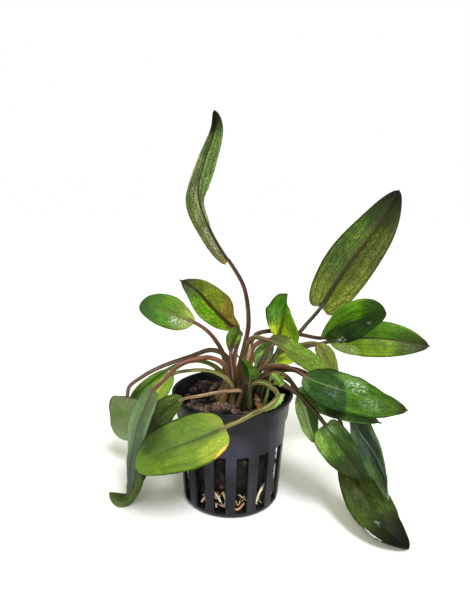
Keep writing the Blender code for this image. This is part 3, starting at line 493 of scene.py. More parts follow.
        "seedling", (160, 190, 98), (140, 172, 84), (140, 172, 84), (176, 204, 112), (172, 196, 116),
        (140, 168, 78), halo=0.0, ripple=0.2, mottle=0.5),
    "sheath_dry": Look(
        "dry_sheath", (238, 200, 144), (214, 162, 104), (190, 136, 84), (246, 224, 184), (198, 146, 94),
        (206, 158, 106), veins=0.5, rough=0.6, ripple=0.15, halves=(1.0, 1.5), sheath=(160, 124, 80)),
}


def srgb(color):
    """A colour written as sRGB, as the linear values that shaders take."""
    share = [c / 255 for c in color]
    return tuple(c / 12.92 if c < 0.04045 else ((c + 0.055) / 1.055) ** 2.4 for c in share) + (1.0,)


def toned(color, factor, added=0):
    """A colour made darker or paler."""
    return [c * factor + added for c in color]


def unit(vectors):
    """Vectors scaled to length one."""
    vectors = np.asarray(vectors, float)
    return vectors / np.linalg.norm(vectors, axis=-1, keepdims=True)


def around(radius, angle, height, center=(0, 0)):
    """A point at an angle round an upright axis through a centre."""
    return (center[0] + radius * math.cos(angle), center[1] + radius * math.sin(angle), height)


def smooth_curve(points):
    """Fine points of a smooth curve through the given points, and the run at each."""
    p = np.asarray(points, float)
    p = np.vstack([2 * p[0] - p[1], p, 2 * p[-1] - p[-2]])
    fine = []
    for i in range(1, len(p) - 2):
        a, b, c, d = p[i - 1:i + 3]
        t1 = np.linalg.norm(b - a) ** 0.5
        t2 = t1 + np.linalg.norm(c - b) ** 0.5
        t3 = t2 + np.linalg.norm(d - c) ** 0.5
        t = np.linspace(t1, t2, CURVE_STEPS, endpoint=False)[:, None]
        ab = ((t1 - t) * a + t * b) / t1
        bc = ((t2 - t) * b + (t - t1) * c) / (t2 - t1)
        cd = ((t3 - t) * c + (t - t2) * d) / (t3 - t2)
        abc = ((t2 - t) * ab + t * bc) / t2
        bcd = ((t3 - t) * bc + (t - t1) * cd) / (t3 - t1)
        fine.append(((t2 - t) * abc + (t - t1) * bcd) / (t2 - t1))
    fine = np.vstack(fine + [p[-2:-1]])
    run = np.concatenate([[0], np.cumsum(np.linalg.norm(np.diff(fine, axis=0), axis=1))])
    return fine, run


def at_run(fine, run, where):
    """Points of a fine curve at the given runs along it."""
    return np.stack([np.interp(where, run, fine[:, k]) for k in range(3)], -1)


def crown_height(distance):
    """Height of the crown's top at a distance from its centre; beyond it, just over the medium."""
    if distance > CROWN_RADIUS:
        return MEDIUM_TOP + 1.1
    return CROWN_EDGE + CROWN_RISE * (1 - (distance / CROWN_RADIUS) ** 2)


def root_point(root):
    """Where a leaf starts."""
    distance, bearing = root
    return around(distance, math.radians(bearing), crown_height(distance) + ROOT_GAP, CROWN_CENTER)


def ring_faces(rings, size):
    """Faces of a skin of rings laid one after another, closed by a point at each end."""
    faces = []
    for i in range(rings - 1):
        for j in range(size):
            a = i * size + j
            b = i * size + (j + 1) % size
            faces.append((a, b, b + size, a + size))
    first = rings * size
    top = (rings - 1) * size
    for j in range(size):
        k = (j + 1) % size
        faces.append((first, k, j))
        faces.append((first + 1, top + j, top + k))
    return faces


def mesh_from(name, verts, faces):
    """A smooth mesh from vertices in millimetres."""
    mesh = bpy.data.meshes.new(name)
    mesh.from_pydata((np.asarray(verts, float) * MM).tolist(), [], faces)
    mesh.shade_smooth()
    return mesh


def new_object(name, data):
    """An object with the given data, put in the scene."""
    made = bpy.data.objects.new(name, data)
    bpy.context.scene.collection.objects.link(made)
    return made


def place_piece(name, mesh, material, slot, *nodes):
    """Put a mesh in the scene as one piece that rides on the body and stands for the CAD nodes."""
    piece = new_object(name, mesh)
    mesh.materials.append(material)
    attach(piece, BODY)
    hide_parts(*nodes)
    return piece


# Leaves

STALK_STEP = 1.5
STALK_RINGS_LEAST = 6
BLADE_STEP = 0.9
BLADE_RINGS = (26, 90)
EVEN_SHARE = 0.45
CROWDED_SHARE = 0.55
LAST_RING = 0.9985
LOOK_AHEAD = 0.004
MID_THICKNESS = 0.22
EDGE_THICKNESS = 0.08
EDGE_POWER = 20
GROOVE_DEPTH = 0.16
GROOVE_WIDTH = 0.5
GROOVE_FADE = 0.6
RIDGE_SHARE = 0.75
RIDGE_SPREAD = 0.15
FOLD_ROUND = 0.004
FOLD_SINK = 0.06
DOME_SHARE = 0.12
LOBE_END = 0.22
WAVES = (1.5, 2.5)
FINE_WAVES = (4.5, 7.0)
FINE_WAVE_SHARE = 0.35
SHEATH_SWELL = 0.75
SHEATH_LENGTH = 7.0
ROOT_SINK = 2.0
BLADE_FADE = 3.0
BLADE_FADE_EDGE = 1.4

# Places across a blade, closer together at the midrib.
EVEN = np.linspace(-1, 1, 21)
ACROSS = np.sign(EVEN) * np.abs(EVEN) ** 1.35


def outline(along, base, tip):
    """Share of the full width along a blade, from nothing at the base to nothing at the tip."""
    widest = base / (base + tip)
    return (along / widest) ** base * ((1 - along) / (1 - widest)) ** tip


def half_widths(leaf, look, along):
    """Widths of a blade's left and right halves along it."""
    sides = look.sides or (leaf.shape, leaf.shape)
    return [(leaf.width / 2 * half * outline(along, *powers) * teeth(leaf, along))[:, None]
            for half, powers in zip(look.halves, sides)]


def teeth(leaf, along):
    """Lobes of a seedling's margin, as a factor on its width."""
    if leaf.name == "seedling_center":
        return 0.4 + 0.85 * np.abs(np.sin(along * math.pi * 2.5)) ** 0.8
    if leaf.name == "seedling_rim":
        return 0.85 + 0.35 * np.abs((along * 7) % 1 - 0.3)
    return 1


def by_side(left, right):
    """One value for the left half of a blade and another for the right half."""
    return np.where(ACROSS < 0, left, right)


def margin_waves(rng, counts, t):
    """Waves along the two margins, each with its own number of waves and its own start."""
    return by_side(*[np.sin(2 * math.pi * rng.uniform(*counts) * t + rng.uniform(0, 6.3)) for _ in range(2)])


def wrapped(top, bottom):
    """Rows that go over the upper side of a blade and back along its underside."""
    return np.concatenate([top, bottom[:, -2:0:-1]], axis=1).reshape(-1, 3)


def leaf_frames(leaf):
    """Centre line of a leaf with its directions, and how far along stalk and blade each ring is."""
    fine, run = smooth_curve([root_point(leaf.root)] + leaf.stalk + leaf.blade)
    start = run[CURVE_STEPS * (1 + len(leaf.stalk))]
    length = run[-1]
    stalk_rings = max(STALK_RINGS_LEAST, int(start / STALK_STEP))
    blade_rings = int(np.clip((length - start) / BLADE_STEP, *BLADE_RINGS))
    share = np.linspace(0, 1, blade_rings)
    share = EVEN_SHARE * share + CROWDED_SHARE * (0.5 - 0.5 * np.cos(share * math.pi))
    share[-1] = LAST_RING
    where = np.concatenate([np.linspace(0, start, stalk_rings, endpoint=False),
                            start + (length - start) * share])
    reach = LOOK_AHEAD * length
    ahead = unit(at_run(fine, run, np.minimum(where + reach, length))
                 - at_run(fine, run, np.maximum(where - reach, 0)))
    along = np.clip((where - start) / (length - start), 0, 1)
    face = unit(at_run(unit(leaf.faces), np.linspace(0, 1, len(leaf.faces)), along))
    up = unit(face - (face * ahead).sum(-1, keepdims=True) * ahead)
    for i in range(stalk_rings - 1, -1, -1):
        up[i] = unit(up[i + 1] - up[i + 1].dot(ahead[i]) * ahead[i])
    return at_run(fine, run, where), ahead, up, along, where, start, fine[-1]


def leaf_mesh(leaf, look):
    """A leaf as one closed skin: a round stalk that flattens into a thin, veined, slightly wavy blade."""
    center, ahead, up, along, where, start, tip = leaf_frames(leaf)
    rng = random.Random(leaf.name)
    side = np.cross(ahead, up)
    radius = np.interp(where / start, [0, 1], leaf.stalk_radii)
    radius = radius * (1 - MIDRIB_TAPER * along) * (1 + SHEATH_SWELL * np.exp(-where / SHEATH_LENGTH))
    radius = radius[:, None]
    t = along[:, None]
    u = ACROSS
    left, right = half_widths(leaf, look, along)
    reach = np.maximum(by_side(left, right), radius)
    flat = np.clip((np.maximum(left, right) - radius) / RIM_TO_FLAT, 0, 1)
    flat = flat * flat * (3 - 2 * flat)
    belly = np.sin(math.pi * t) ** 0.5

    angle = math.pi * (1 - u) / 2
    fold = np.radians(by_side(*leaf.folds))
    across = (1 - flat) * radius * np.cos(angle) + flat * reach * u * np.cos(fold)
    lift = flat * reach * (np.sqrt(u * u + FOLD_ROUND) - FOLD_SINK) * np.sin(fold)
    lift += flat * look.dome * DOME_SHARE * reach * np.sin(math.pi * np.abs(u) ** 0.8) * belly
    waves = margin_waves(rng, WAVES, t) + FINE_WAVE_SHARE * margin_waves(rng, FINE_WAVES, t)
    lift += flat * look.ripple * np.abs(u) ** 2.2 * waves * belly
    back = by_side(*look.lobes) * np.abs(u) ** 1.2
    back = back * np.sin(math.pi * np.clip(t / LOBE_END, 0, 1) ** 0.45) * flat

    plate = EDGE_THICKNESS + (MID_THICKNESS - EDGE_THICKNESS) * (1 - np.abs(u))
    plate = plate * np.sqrt(np.clip(1 - u ** EDGE_POWER, 0, 1))
    groove = GROOVE_DEPTH * np.exp(-(u * reach / GROOVE_WIDTH) ** 2) * (1 - GROOVE_FADE * t)
    ridge = radius * RIDGE_SHARE * np.exp(-(u * reach / (RIDGE_SHARE * radius + RIDGE_SPREAD)) ** 2)
    round_half = (1 - flat) * (radius * np.sin(angle))
    top_half = round_half + flat * (plate - groove)
    bottom_half = round_half + flat * (plate + ridge)

    low = center[0] - (0, 0, ROOT_SINK)
    center, side, up, ahead = (axis[:, None, :] for axis in (center, side, up, ahead))
    middle = center + side * across[..., None] + up * lift[..., None] - ahead * back[..., None]
    verts = wrapped(middle + up * top_half[..., None], middle - up * bottom_half[..., None])

    past = (where - start)[:, None]
    share = np.where(t > 0, t, (where / start - 1)[:, None])
    place = np.stack(np.broadcast_arrays(u * reach, past - back, share), -1)
    blade = np.clip(past / BLADE_FADE + BLADE_FADE_EDGE * np.abs(u), 0, 1) * np.maximum(flat, t > 0.5)
    masks = [np.stack(np.broadcast_arrays(u, under, blade), -1) for under in (0.0, 1.0)]
    place = np.vstack([wrapped(place, place), (0, -start, -1), (0, where[-1] - start, 1)])
    mask = np.vstack([wrapped(*masks), (0, 0, 0), (0, 0, 1)])

    mesh = mesh_from(leaf.name + "_grown", np.vstack([verts, low, tip]),
                     ring_faces(len(where), 2 * len(ACROSS) - 2))
    for name, values in (("leaf_place", place), ("leaf_mask", mask)):
        attribute = mesh.attributes.new(name, "FLOAT_VECTOR", "POINT")
        attribute.data.foreach_set("vector", values.astype(np.float32).ravel())
    return mesh


# Materials

class Graph:
    """Short calls that add nodes to one material or world and link them."""

    def __init__(self, name, kind="materials"):
        self.block = getattr(bpy.data, kind).new(name)
        self.block.use_nodes = True
        self.nodes = self.block.node_tree.nodes
        self.links = self.block.node_tree.links

    def put(self, socket, value):
        """Set a socket from a number or colour, or link it."""
        if isinstance(value, bpy.types.NodeSocket):
            self.links.new(value, socket)
        else:
            socket.default_value = value

    def add(self, kind, *values, **settings):
        """A node with its first sockets and its settings filled in."""
        node = self.nodes.new(kind)
        for key, setting in settings.items():
            setattr(node, key, setting)
        for socket, value in zip(node.inputs, values):
            if value is not None:
                self.put(socket, value)
        return node

    def math(self, operation, *values):
        """Result of a Math node."""
        return self.add("ShaderNodeMath", *values, operation=operation).outputs[0]

    def times(self, first, second):
        """Product of two values."""
        return self.math("MULTIPLY", first, second)

    def line(self, value, factor, added):
        """A value times a factor, and then something added."""
        return self.math("MULTIPLY_ADD", value, factor, added)

    def ramp(self, value, low, high, first=0.0, last=1.0):
        """A value turned smoothly from low..high into first..last."""
        return self.add("ShaderNodeMapRange", value, low, high, first, last,
                        interpolation_type="SMOOTHSTEP").outputs[0]

    def stripes(self, value, spacing, edge):
        """Lines two spacings apart in a value: 1 on a line, fading to 0 at the edge."""
        return self.ramp(self.math("PINGPONG", value, spacing), 0.0, edge, 1.0, 0.0)

    def vector(self, x, y, z):
        """A vector from three values."""
        return self.add("ShaderNodeCombineXYZ", x, y, z).outputs[0]

    def parts(self, vector):
        """The three values of a vector."""
        return self.add("ShaderNodeSeparateXYZ", vector).outputs

    def attribute(self, name, output="Vector"):
        """A value that the mesh holds at each point."""
        return self.add("ShaderNodeAttribute", attribute_name=name).outputs[output]

    def spot(self):
        """Where a point of the piece is, in metres."""
        return self.add("ShaderNodeTexCoord").outputs["Object"]

    def distance(self, spot, point):
        """How far a point of the piece is from a fixed one, in metres."""
        point = [c * MM for c in point]
        return self.add("ShaderNodeVectorMath", spot, point, operation="DISTANCE").outputs["Value"]

    def noise(self, vector, scale, detail=3.0, roughness=0.5, distortion=0.0):
        """Noise from 0 to 1 at a vector."""
        node = self.add("ShaderNodeTexNoise")
        for name, value in (("Vector", vector), ("Scale", scale), ("Detail", detail),
                            ("Roughness", roughness), ("Distortion", distortion)):
            self.put(node.inputs[name], value)
        return node.outputs["Fac"]

    def cells(self, vector, scale, feature):
        """Distance within an uneven pattern of cells, to their middle or their edge as the feature says."""
        node = self.add("ShaderNodeTexVoronoi", feature=feature)
        self.put(node.inputs["Vector"], vector)
        self.put(node.inputs["Scale"], scale)
        return node.outputs["Distance"]

    def mix(self, factor, first, second, blend="MIX"):
        """Two colours mixed."""
        node = self.add("ShaderNodeMix", data_type="RGBA", blend_type=blend)
        self.put(node.inputs[0], factor)
        self.put(node.inputs[6], first)
        self.put(node.inputs[7], second)
        return node.outputs[2]

    def blotch(self, share, first, second):
        """Two colours written as sRGB, mixed."""
        return self.mix(share, srgb(first), srgb(second))

    def over(self, color, share, second):
        """A share of a colour written as sRGB, laid over another colour."""
        return self.mix(share, color, srgb(second))

    def finish(self, color, roughness, height=None, strength=0.3, distance=0.3, gloss=0.25):
        """Wire up the shader and give back the material. distance is in millimetres."""
        inputs = self.nodes["Principled BSDF"].inputs
        inputs["Specular IOR Level"].default_value = gloss
        self.put(inputs["Base Color"], color)
        self.put(inputs["Roughness"], roughness)
        if height is not None:
            bump = self.add("ShaderNodeBump")
            bump.inputs["Strength"].default_value = strength
            bump.inputs["Distance"].default_value = distance * MM
            self.put(bump.inputs["Height"], height)
            self.put(inputs["Normal"], bump.outputs["Normal"])
        return self.block


def mark_share(g, mark, edge, along, patches):
    """How much a mark covers at a place on a blade."""
    wide, long = [g.math("POWER", g.math("DIVIDE", g.math("SUBTRACT", value, middle), half), 2.0)
                  for value, middle, half in ((edge, mark.across, mark.wide),
                                              (along, mark.along, mark.long))]
    away = g.math("ADD", g.line(patches, mark.soft, wide), long)
    return g.ramp(away, 1.0 + mark.soft * 0.5, 1.0 - mark.soft * 0.9, 0.0, mark.strength)


def blade_color(g, look, edge, along, patches):
    """Colours of a blade before its veins: the main pair, the right half, the base and the marks."""
    color = g.blotch(g.ramp(patches, 0.4, 0.6), look.main, look.second)
    if look.right:
        middle = g.line(patches, 0.2, edge)
        half = g.ramp(middle, 0.14 - look.split / 2, 0.14 + look.split / 2, 0.0, 0.9)
        color = g.over(color, half, look.right)
    color = g.over(color, g.ramp(along, look.base_to, 0.0, 0.0, 0.8), look.base)
    for mark in look.marks:
        color = g.over(color, mark_share(g, mark, edge, along, patches), mark.color)
    return color


def stalk_color(g, look, along, rim, upper, streaks):
    """Streaked colour of a stalk, with a painted highlight along its top, turning into the sheath at its
    foot.
    """
    color = g.blotch(g.ramp(streaks, 0.36, 0.6), toned(look.stalk, 1.2), toned(look.stalk, 0.45))
    # A paler line along the top of the stalk is a painted highlight.
    painted_top_highlight = g.times(g.ramp(rim, 0.42, 0.05), g.ramp(streaks, 0.6, 0.42, 0.0, 0.55))
    color = g.over(color, g.times(painted_top_highlight, upper), toned(look.stalk, 0.9, 62))
    color = g.over(color, g.ramp(along, -0.5, -1.0, 0.0, 0.7), look.sheath)
    return g.over(color, g.ramp(streaks, 0.52, 0.7, 0.0, 0.6), toned(look.stalk, 0.4))


def leaf_material(name, width, look):
    """Living leaf: mottled green, midrib, arched and crossing veins, darker tip, paler underside, stalk."""
    g = Graph(name + "_skin")
    rng = random.Random(name + "look")
    across, run, along = g.parts(g.attribute("leaf_place"))
    edge, under, blade = g.parts(g.attribute("leaf_mask"))
    away = g.math("ABSOLUTE", across)
    rim = g.math("ABSOLUTE", edge)
    upper = g.math("SUBTRACT", 1.0, under)
    level = g.line(under, 7.0, rng.uniform(0, 90))
    flesh = g.vector(across, run, level)
    here = g.vector(across, g.times(run, 0.6), level)
    along_veins = g.vector(g.times(edge, width / 2), g.times(run, 0.38), level)
    patches = g.noise(here, 0.16, 3.0, 0.55, 0.6)
    grain = g.noise(along_veins, 0.7, 3.0, 0.6)
    fine = g.noise(along_veins, 2.3, 2.0, 0.6)
    streaks = g.noise(g.vector(g.times(edge, 9.0), g.times(run, 0.12), level), 1.0, 3.0, 0.6)
    specks = g.cells(g.vector(across, g.times(run, 0.7), level), 1.9, "F1")

    # Each kind of mottling has the range that counts, and how far it darkens and brightens.
    mottling = ((grain, 0.3, 0.66, 0.34, 0.18), (streaks, 0.32, 0.68, 0.24, 0.14),
                (fine, 0.3, 0.62, 0.4, 0.22), (specks, 0.12, 0.42, 0.34, 0.07))
    shade = reduce(g.times, [g.ramp(value, low, high, 1 - dark * look.mottle, 1 + pale * look.mottle)
                             for value, low, high, dark, pale in mottling])
    color = g.mix(1.0, blade_color(g, look, edge, along, patches), shade, "MULTIPLY")

    slant = g.math("ADD", g.line(away, -1.1, run), g.times(patches, 4.0))
    bow = g.line(patches, 0.2, g.times(rim, 2.6))
    net = g.ramp(g.cells(flesh, 0.62, "DISTANCE_TO_EDGE"), 0.0, 0.12, 1.0, 0.0)
    veins = g.math("MAXIMUM", g.stripes(bow, 0.5, 0.1), g.times(g.stripes(slant, 1.4, 0.34), 0.6))
    veins = g.math("MAXIMUM", veins, g.times(net, 0.7))
    vein_share = g.times(g.times(veins, g.ramp(streaks, 0.25, 0.6, 0.5, 1.0)), look.veins)
    color = g.over(color, vein_share, [c * 0.34 + r * 0.34 for c, r in zip(look.second, look.rib)])

    halo = g.times(g.ramp(rim, 0.36, 0.0), g.ramp(along, 0.95, 0.0, 0.0, look.halo))
    color = g.over(color, halo, look.beside_rib or [(c + r) / 2.3 for c, r in zip(look.second, look.rib)])
    rib_edge = g.line(along, -0.72 * look.rib_width, look.rib_width)
    rib = g.times(g.ramp(g.math("DIVIDE", away, rib_edge), 0.45, 1.0, 1.0, 0.0),
                  g.ramp(along, 0.35, 0.98, 0.92, 0.92 * (1 - look.rib_fade)))
    color = g.over(color, rib, look.rib)
    tip = g.ramp(g.line(grain, 0.05, along), look.tip_from - 0.05, 1.0, 0.0, 0.92)
    color = g.over(color, tip, look.tip)
    color = g.over(color, g.ramp(rim, 0.93, 1.0, 0.0, 0.4), toned(look.second, 0.6))
    color = g.mix(under, color, g.over(color, 0.45, toned(look.main, 0.5, 70)))
    color = g.mix(blade, stalk_color(g, look, along, rim, upper, streaks), color)

    roughness = g.line(under, 0.14, g.ramp(grain, 0.2, 0.8, look.rough, look.rough + 0.16))
    puff = g.noise(here, 0.42, 2.0, 0.5)
    height = g.math("ADD", g.times(veins, -0.45), g.line(grain, 0.3, puff))
    if look.sheen:
        wet = [mark_share(g, mark, edge, along, patches) for mark in look.sheen]
        wet_film_and_painted_highlight = reduce(lambda first, second: g.math("MAXIMUM", first, second), wet)
        drops = g.noise(flesh, 0.95, 3.0, 0.6, 0.8)
        wet_film_and_painted_highlight = g.times(g.times(wet_film_and_painted_highlight, upper), g.ramp(drops, 0.5, 0.58))
        height = g.line(wet_film_and_painted_highlight, 0.9, height)
        # The wet patches are also painted paler: a painted highlight over the real gloss.
        color = g.over(color, g.times(wet_film_and_painted_highlight, 0.62), (222, 234, 218))
        coat = g.nodes["Principled BSDF"].inputs
        g.put(coat["Coat Weight"], wet_film_and_painted_highlight)
        coat["Coat Roughness"].default_value = 0.07
    return g.finish(color, roughness, height, strength=0.5, distance=0.4, gloss=look.gloss)


# Camera, light and floor

CAMERA_TILT = math.radians(11.7)
CAMERA_ROLL = math.radians(1.08)
CAMERA_DISTANCE = 221.96
CAMERA_TARGET = Vector((0.314, 0, 93.6))
PICTURE_HEIGHT = 596
FOCAL_PIXELS = 506
SENSOR = 36
SKY_LOW = 0.2
SKY_HIGH = 0.66
SKY_COLOR = (1.0, 1.0, 0.8, 1.0)
SUN_FROM = Vector((0.32, -0.8, 1.0))
SUN_COLOR = (1.0, 0.99, 1.08)
BOX_PLACE = Vector((-0.12, -0.75, 0.62))
BOX_TARGET = Vector((0, 0, 0.08))
FLOOR_HALF = 3.0
FLOOR_GLOW = 0.03


def add_camera():
    """Camera at the photograph's angle."""
    back = Vector((0, -math.cos(CAMERA_TILT), math.sin(CAMERA_TILT)))
    up = Vector((0, math.sin(CAMERA_TILT), math.cos(CAMERA_TILT)))
    right = Vector((1, 0, 0))
    cos, sin = math.cos(CAMERA_ROLL), math.sin(CAMERA_ROLL)
    matrix = Matrix((right * cos + up * sin, up * cos - right * sin, back)).transposed().to_4x4()
    matrix.translation = (CAMERA_TARGET + back * CAMERA_DISTANCE) * MM
    data = bpy.data.cameras.new("camera")
    data.sensor_fit = "AUTO"
    data.sensor_width = SENSOR
    data.lens = FOCAL_PIXELS * SENSOR / PICTURE_HEIGHT
    data.clip_start = 0.01
    data.clip_end = 10
    camera = new_object("camera", data)
    camera.matrix_world = matrix
    bpy.context.scene.camera = camera


def add_lamp(name, kind, toward, **settings):
    """A lamp that shines from the given direction."""
    lamp = bpy.data.lights.new(name, kind)
    for key, setting in settings.items():
        setattr(lamp, key, setting)
    holder = new_object(name, lamp)
    holder.rotation_euler = toward.to_track_quat("Z", "Y").to_euler()
    return holder


def add_sky():
    """White surroundings for the camera, and a soft dome of light that is stronger overhead."""
    g = Graph("studio", "worlds")
    seen = g.add("ShaderNodeLightPath").outputs["Is Camera Ray"]
    rise = g.parts(g.add("ShaderNodeTexCoord").outputs["Generated"])["Z"]
    dome = g.add("ShaderNodeMapRange", rise, None, None, SKY_LOW, SKY_HIGH).outputs[0]
    background = g.nodes["Background"].inputs
    g.put(background["Color"], g.mix(seen, SKY_COLOR, (1, 1, 1, 1)))
    g.put(background["Strength"], g.add("ShaderNodeMapRange", seen, None, None, dome, 1.0).outputs[0])
    bpy.context.scene.world = g.block


def add_light():
    """White surroundings, a lamp high in front, a soft box in front, and a plain pale floor."""
    add_sky()
    bpy.context.scene.view_settings.view_transform = "Standard"
    add_lamp("overhead", "SUN", SUN_FROM, energy=3.0, angle=math.radians(17), color=SUN_COLOR)
    add_lamp("front_box", "AREA", BOX_PLACE - BOX_TARGET, energy=1.8, size=0.22).location = BOX_PLACE

    mesh = bpy.data.meshes.new("floor")
    mesh.from_pydata([(x * FLOOR_HALF, y * FLOOR_HALF, 0) for x, y in ((-1, -1), (1, -1), (1, 1), (-1, 1))],
                     [], [(0, 1, 2, 3)])
    g = Graph("floor_white")
    mesh.materials.append(g.finish(srgb((248, 252, 244)), 0.6))
    shader = g.nodes["Principled BSDF"].inputs
    shader["Emission Color"].default_value = (1, 1, 1, 1)
    shader["Emission Strength"].default_value = FLOOR_GLOW
    floor = new_object("floor", mesh)


# Pot

# Columns of faces for each slot and the bar beside it, columns of the slot alone, and rows up a slot.
POT_COLUMNS = 8
SLOT_COLUMNS = 4
SLOT_ROWS = 7
# Where the paler bluish patch on the front wall is painted, a painted reflection.
REFLECTION_PATCH_PLACE = (-2, -24, 32)
COLLAR_FROM = 40.0
COLLAR_TO = 42.5


def pot_rows():
    """Wall profile from the foot over the lip and down inside, with extra rows between slot ends."""
    rows = []
    for profile in (POT_OUTER, POT_INNER):
        for (r1, z1), (r2, z2) in zip(profile, profile[1:]):
            steps = SLOT_ROWS if {z1, z2} == {SLOT_BOTTOM, SLOT_TOP} else 1
            for share in [k / steps for k in range(steps)]:
                rows.append((r1 + (r2 - r1) * share, z1 + (z2 - z1) * share))
        rows.append(profile[-1])
    return rows


def pot_mesh():
    """Net pot with its open slots, as one closed skin."""
    pitch = math.tau / SLOT_COUNT
    edge = pitch * SLOT_SHARE / 2
    first = -math.pi / 2 + pitch / 2
    bar_columns = POT_COLUMNS - SLOT_COLUMNS
    shifts = [-edge + 2 * edge * k / SLOT_COLUMNS for k in range(SLOT_COLUMNS)]
    shifts += [edge + (pitch - 2 * edge) * k / bar_columns for k in range(bar_columns)]
    angles = [first + i * pitch + shift for i in range(SLOT_COUNT) for shift in shifts]
    count = len(angles)
    rows = pot_rows()
    verts = [around(r, a, z) for r, z in rows for a in angles] + [(0, 0, 0), (0, 0, FLOOR_TOP)]
    low_out, low_in = [i for i, (_, z) in enumerate(rows) if z == SLOT_BOTTOM]
    high_out, high_in = [i for i, (_, z) in enumerate(rows) if z == SLOT_TOP]
    faces = []

    def strip(row, other, j, k):
        """A face between two rows of the wall and two columns."""
        faces.append((row * count + j, row * count + k, other * count + k, other * count + j))

    for i in range(len(rows) - 1):
        open_row = low_out <= i < high_out or high_in <= i < low_in
        for j in range(count):
            if not (open_row and j % POT_COLUMNS < SLOT_COLUMNS):
                strip(i, i + 1, j, (j + 1) % count)
    for j in range(0, count, POT_COLUMNS):
        last = j + SLOT_COLUMNS
        for k in range(j, last):
            strip(low_out, low_in, k, k + 1)
            strip(high_in, high_out, k, k + 1)
        for n in range(SLOT_ROWS):
            out_a, out_b = (low_out + n) * count, (low_out + n + 1) * count
            in_a, in_b = (low_in - n) * count, (low_in - n - 1) * count
            faces.append((out_a + j, in_a + j, in_b + j, out_b + j))
            faces.append((out_b + last, in_b + last, in_a + last, out_a + last))
    final = (len(rows) - 1) * count
    for j in range(count):
        k = (j + 1) % count
        faces.append((len(verts) - 2, k, j))
        faces.append((final + j, final + k, len(verts) - 1))
    return mesh_from("net_pot_grown", verts, faces)


def pot_material():
    """Black satin plastic with dried marks, a painted reflection as a paler bluish patch on its front, and
    painted shade on its collar.
    """
    g = Graph("pot_plastic")
    spot = g.spot()
    cloud = g.noise(spot, 60.0, 4.0, 0.6)
    fine = g.noise(spot, 900.0, 3.0, 0.6)
    runs = g.noise(g.add("ShaderNodeMapping", spot, None, None, (1, 1, 0.12)).outputs[0], 260.0, 4.0, 0.6)
    color = g.blotch(g.ramp(cloud, 0.35, 0.7), (22, 22, 25), (38, 37, 46))
    color = g.over(color, g.ramp(runs, 0.5, 0.75, 0.0, 0.5), (58, 58, 64))
    # A paler bluish patch round that place is a painted reflection.
    patch = g.line(cloud, 8 * MM, g.distance(spot, REFLECTION_PATCH_PLACE))
    color = g.over(color, g.ramp(patch, 18 * MM, 9 * MM, 0.0, 0.5), (64, 62, 80))
    # Above the collar's step the wall is painted darker: painted shade.
    collar = g.ramp(g.parts(spot)["Z"], COLLAR_FROM * MM, COLLAR_TO * MM, 0.0, 0.7)
    color = g.over(color, collar, (20, 22, 23))
    roughness = g.ramp(g.math("ADD", cloud, g.times(runs, 0.6)), 0.5, 1.1, 0.28, 0.5)
    return g.finish(color, roughness, g.line(fine, 0.3, cloud), strength=0.25, distance=0.3, gloss=0.17)


def add_pot():
    """The net pot, its edges slightly rounded."""
    piece = place_piece("net_pot_grown", pot_mesh(), pot_material(), "pot", "net_pot")
    bevel = piece.modifiers.new("rounded", "BEVEL")
    bevel.width = 0.28 * MM
    bevel.segments = 2
    bevel.limit_method = "ANGLE"
    bevel.angle_limit = math.radians(35)
    piece.data.set_sharp_from_angle(angle=math.radians(60))


# Growing medium, crown and roots

# Each lump that shows at the pot's front: its place, its size and about how high its top is.
FRONT_LUMPS = [(-11.5, -17.5, 3.6, 50.2), (-6.5, -17.2, 4.0, 51.4), (-2.0, -16.6, 3.6, 51.4),
               (1.5, -18.8, 3.0, 50.0), (-15.5, -14.0, 3.0, 49.0), (5.0, -18.5, 2.5, 48.6)]
# The dark core's radii and heights.
CORE = [(17.6, 2.2), (17.9, 12.5), (19.8, 15.0), (20.9, 29.0), (21.2, 38.0), (22.4, 41.6),
        (18.0, 42.4), (10.0, 43.4)]
CORE_SIDES = 40
TOP_LUMPS = 230
LARGE_TOP_LUMPS = 90
CROWN_LUMPS = 46
SLOT_LUMPS = 7
LUMP_ROUGH = 0.5
DOME_SIDES = 36
DOME_RINGS = 12
DOME_FOOT = 45.2
OLD_STALKS = 16
ROOTSTOCK = [(11.5, -13.0, 45.0), (11.8, -13.6, 48.5), (10.8, -13.4, 51.5), (10.0, -12.4, 54.0)]
ROOTSTOCK_SCAR = (11.5, -15.5, 49.6)
FINE_ROOTS = 7
ROOT_HAIRS = 9
ROOT_KNOTS = 5


def ball():
    """Vertices and triangles of a unit icosphere."""
    work = bmesh.new()
    bmesh.ops.create_icosphere(work, subdivisions=3, radius=1)
    verts = [tuple(v.co) for v in work.verts]
    faces = [tuple(v.index for v in f.verts) for f in work.faces]
    work.free()
    return verts, faces


BALL_POINTS, BALL_FACES = ball()


def lump(rng, size):
    """Vertices of one uneven lump about the origin."""
    shift = Vector([rng.uniform(0, 90) for _ in range(3)])
    stretch = [rng.uniform(*limits) for limits in ((0.75, 1.3), (0.75, 1.3), (0.65, 1.0))]
    turn = np.array(Matrix.Rotation(rng.uniform(0, math.tau), 3, "Z"))
    swell = [1 + LUMP_ROUGH * noise.noise(p * 1.6 + shift) + 0.5 * LUMP_ROUGH * noise.noise(p * 4.2 + shift)
             for p in map(Vector, BALL_POINTS)]
    return (np.array(BALL_POINTS) * np.array(swell)[:, None] * stretch * size) @ turn.T


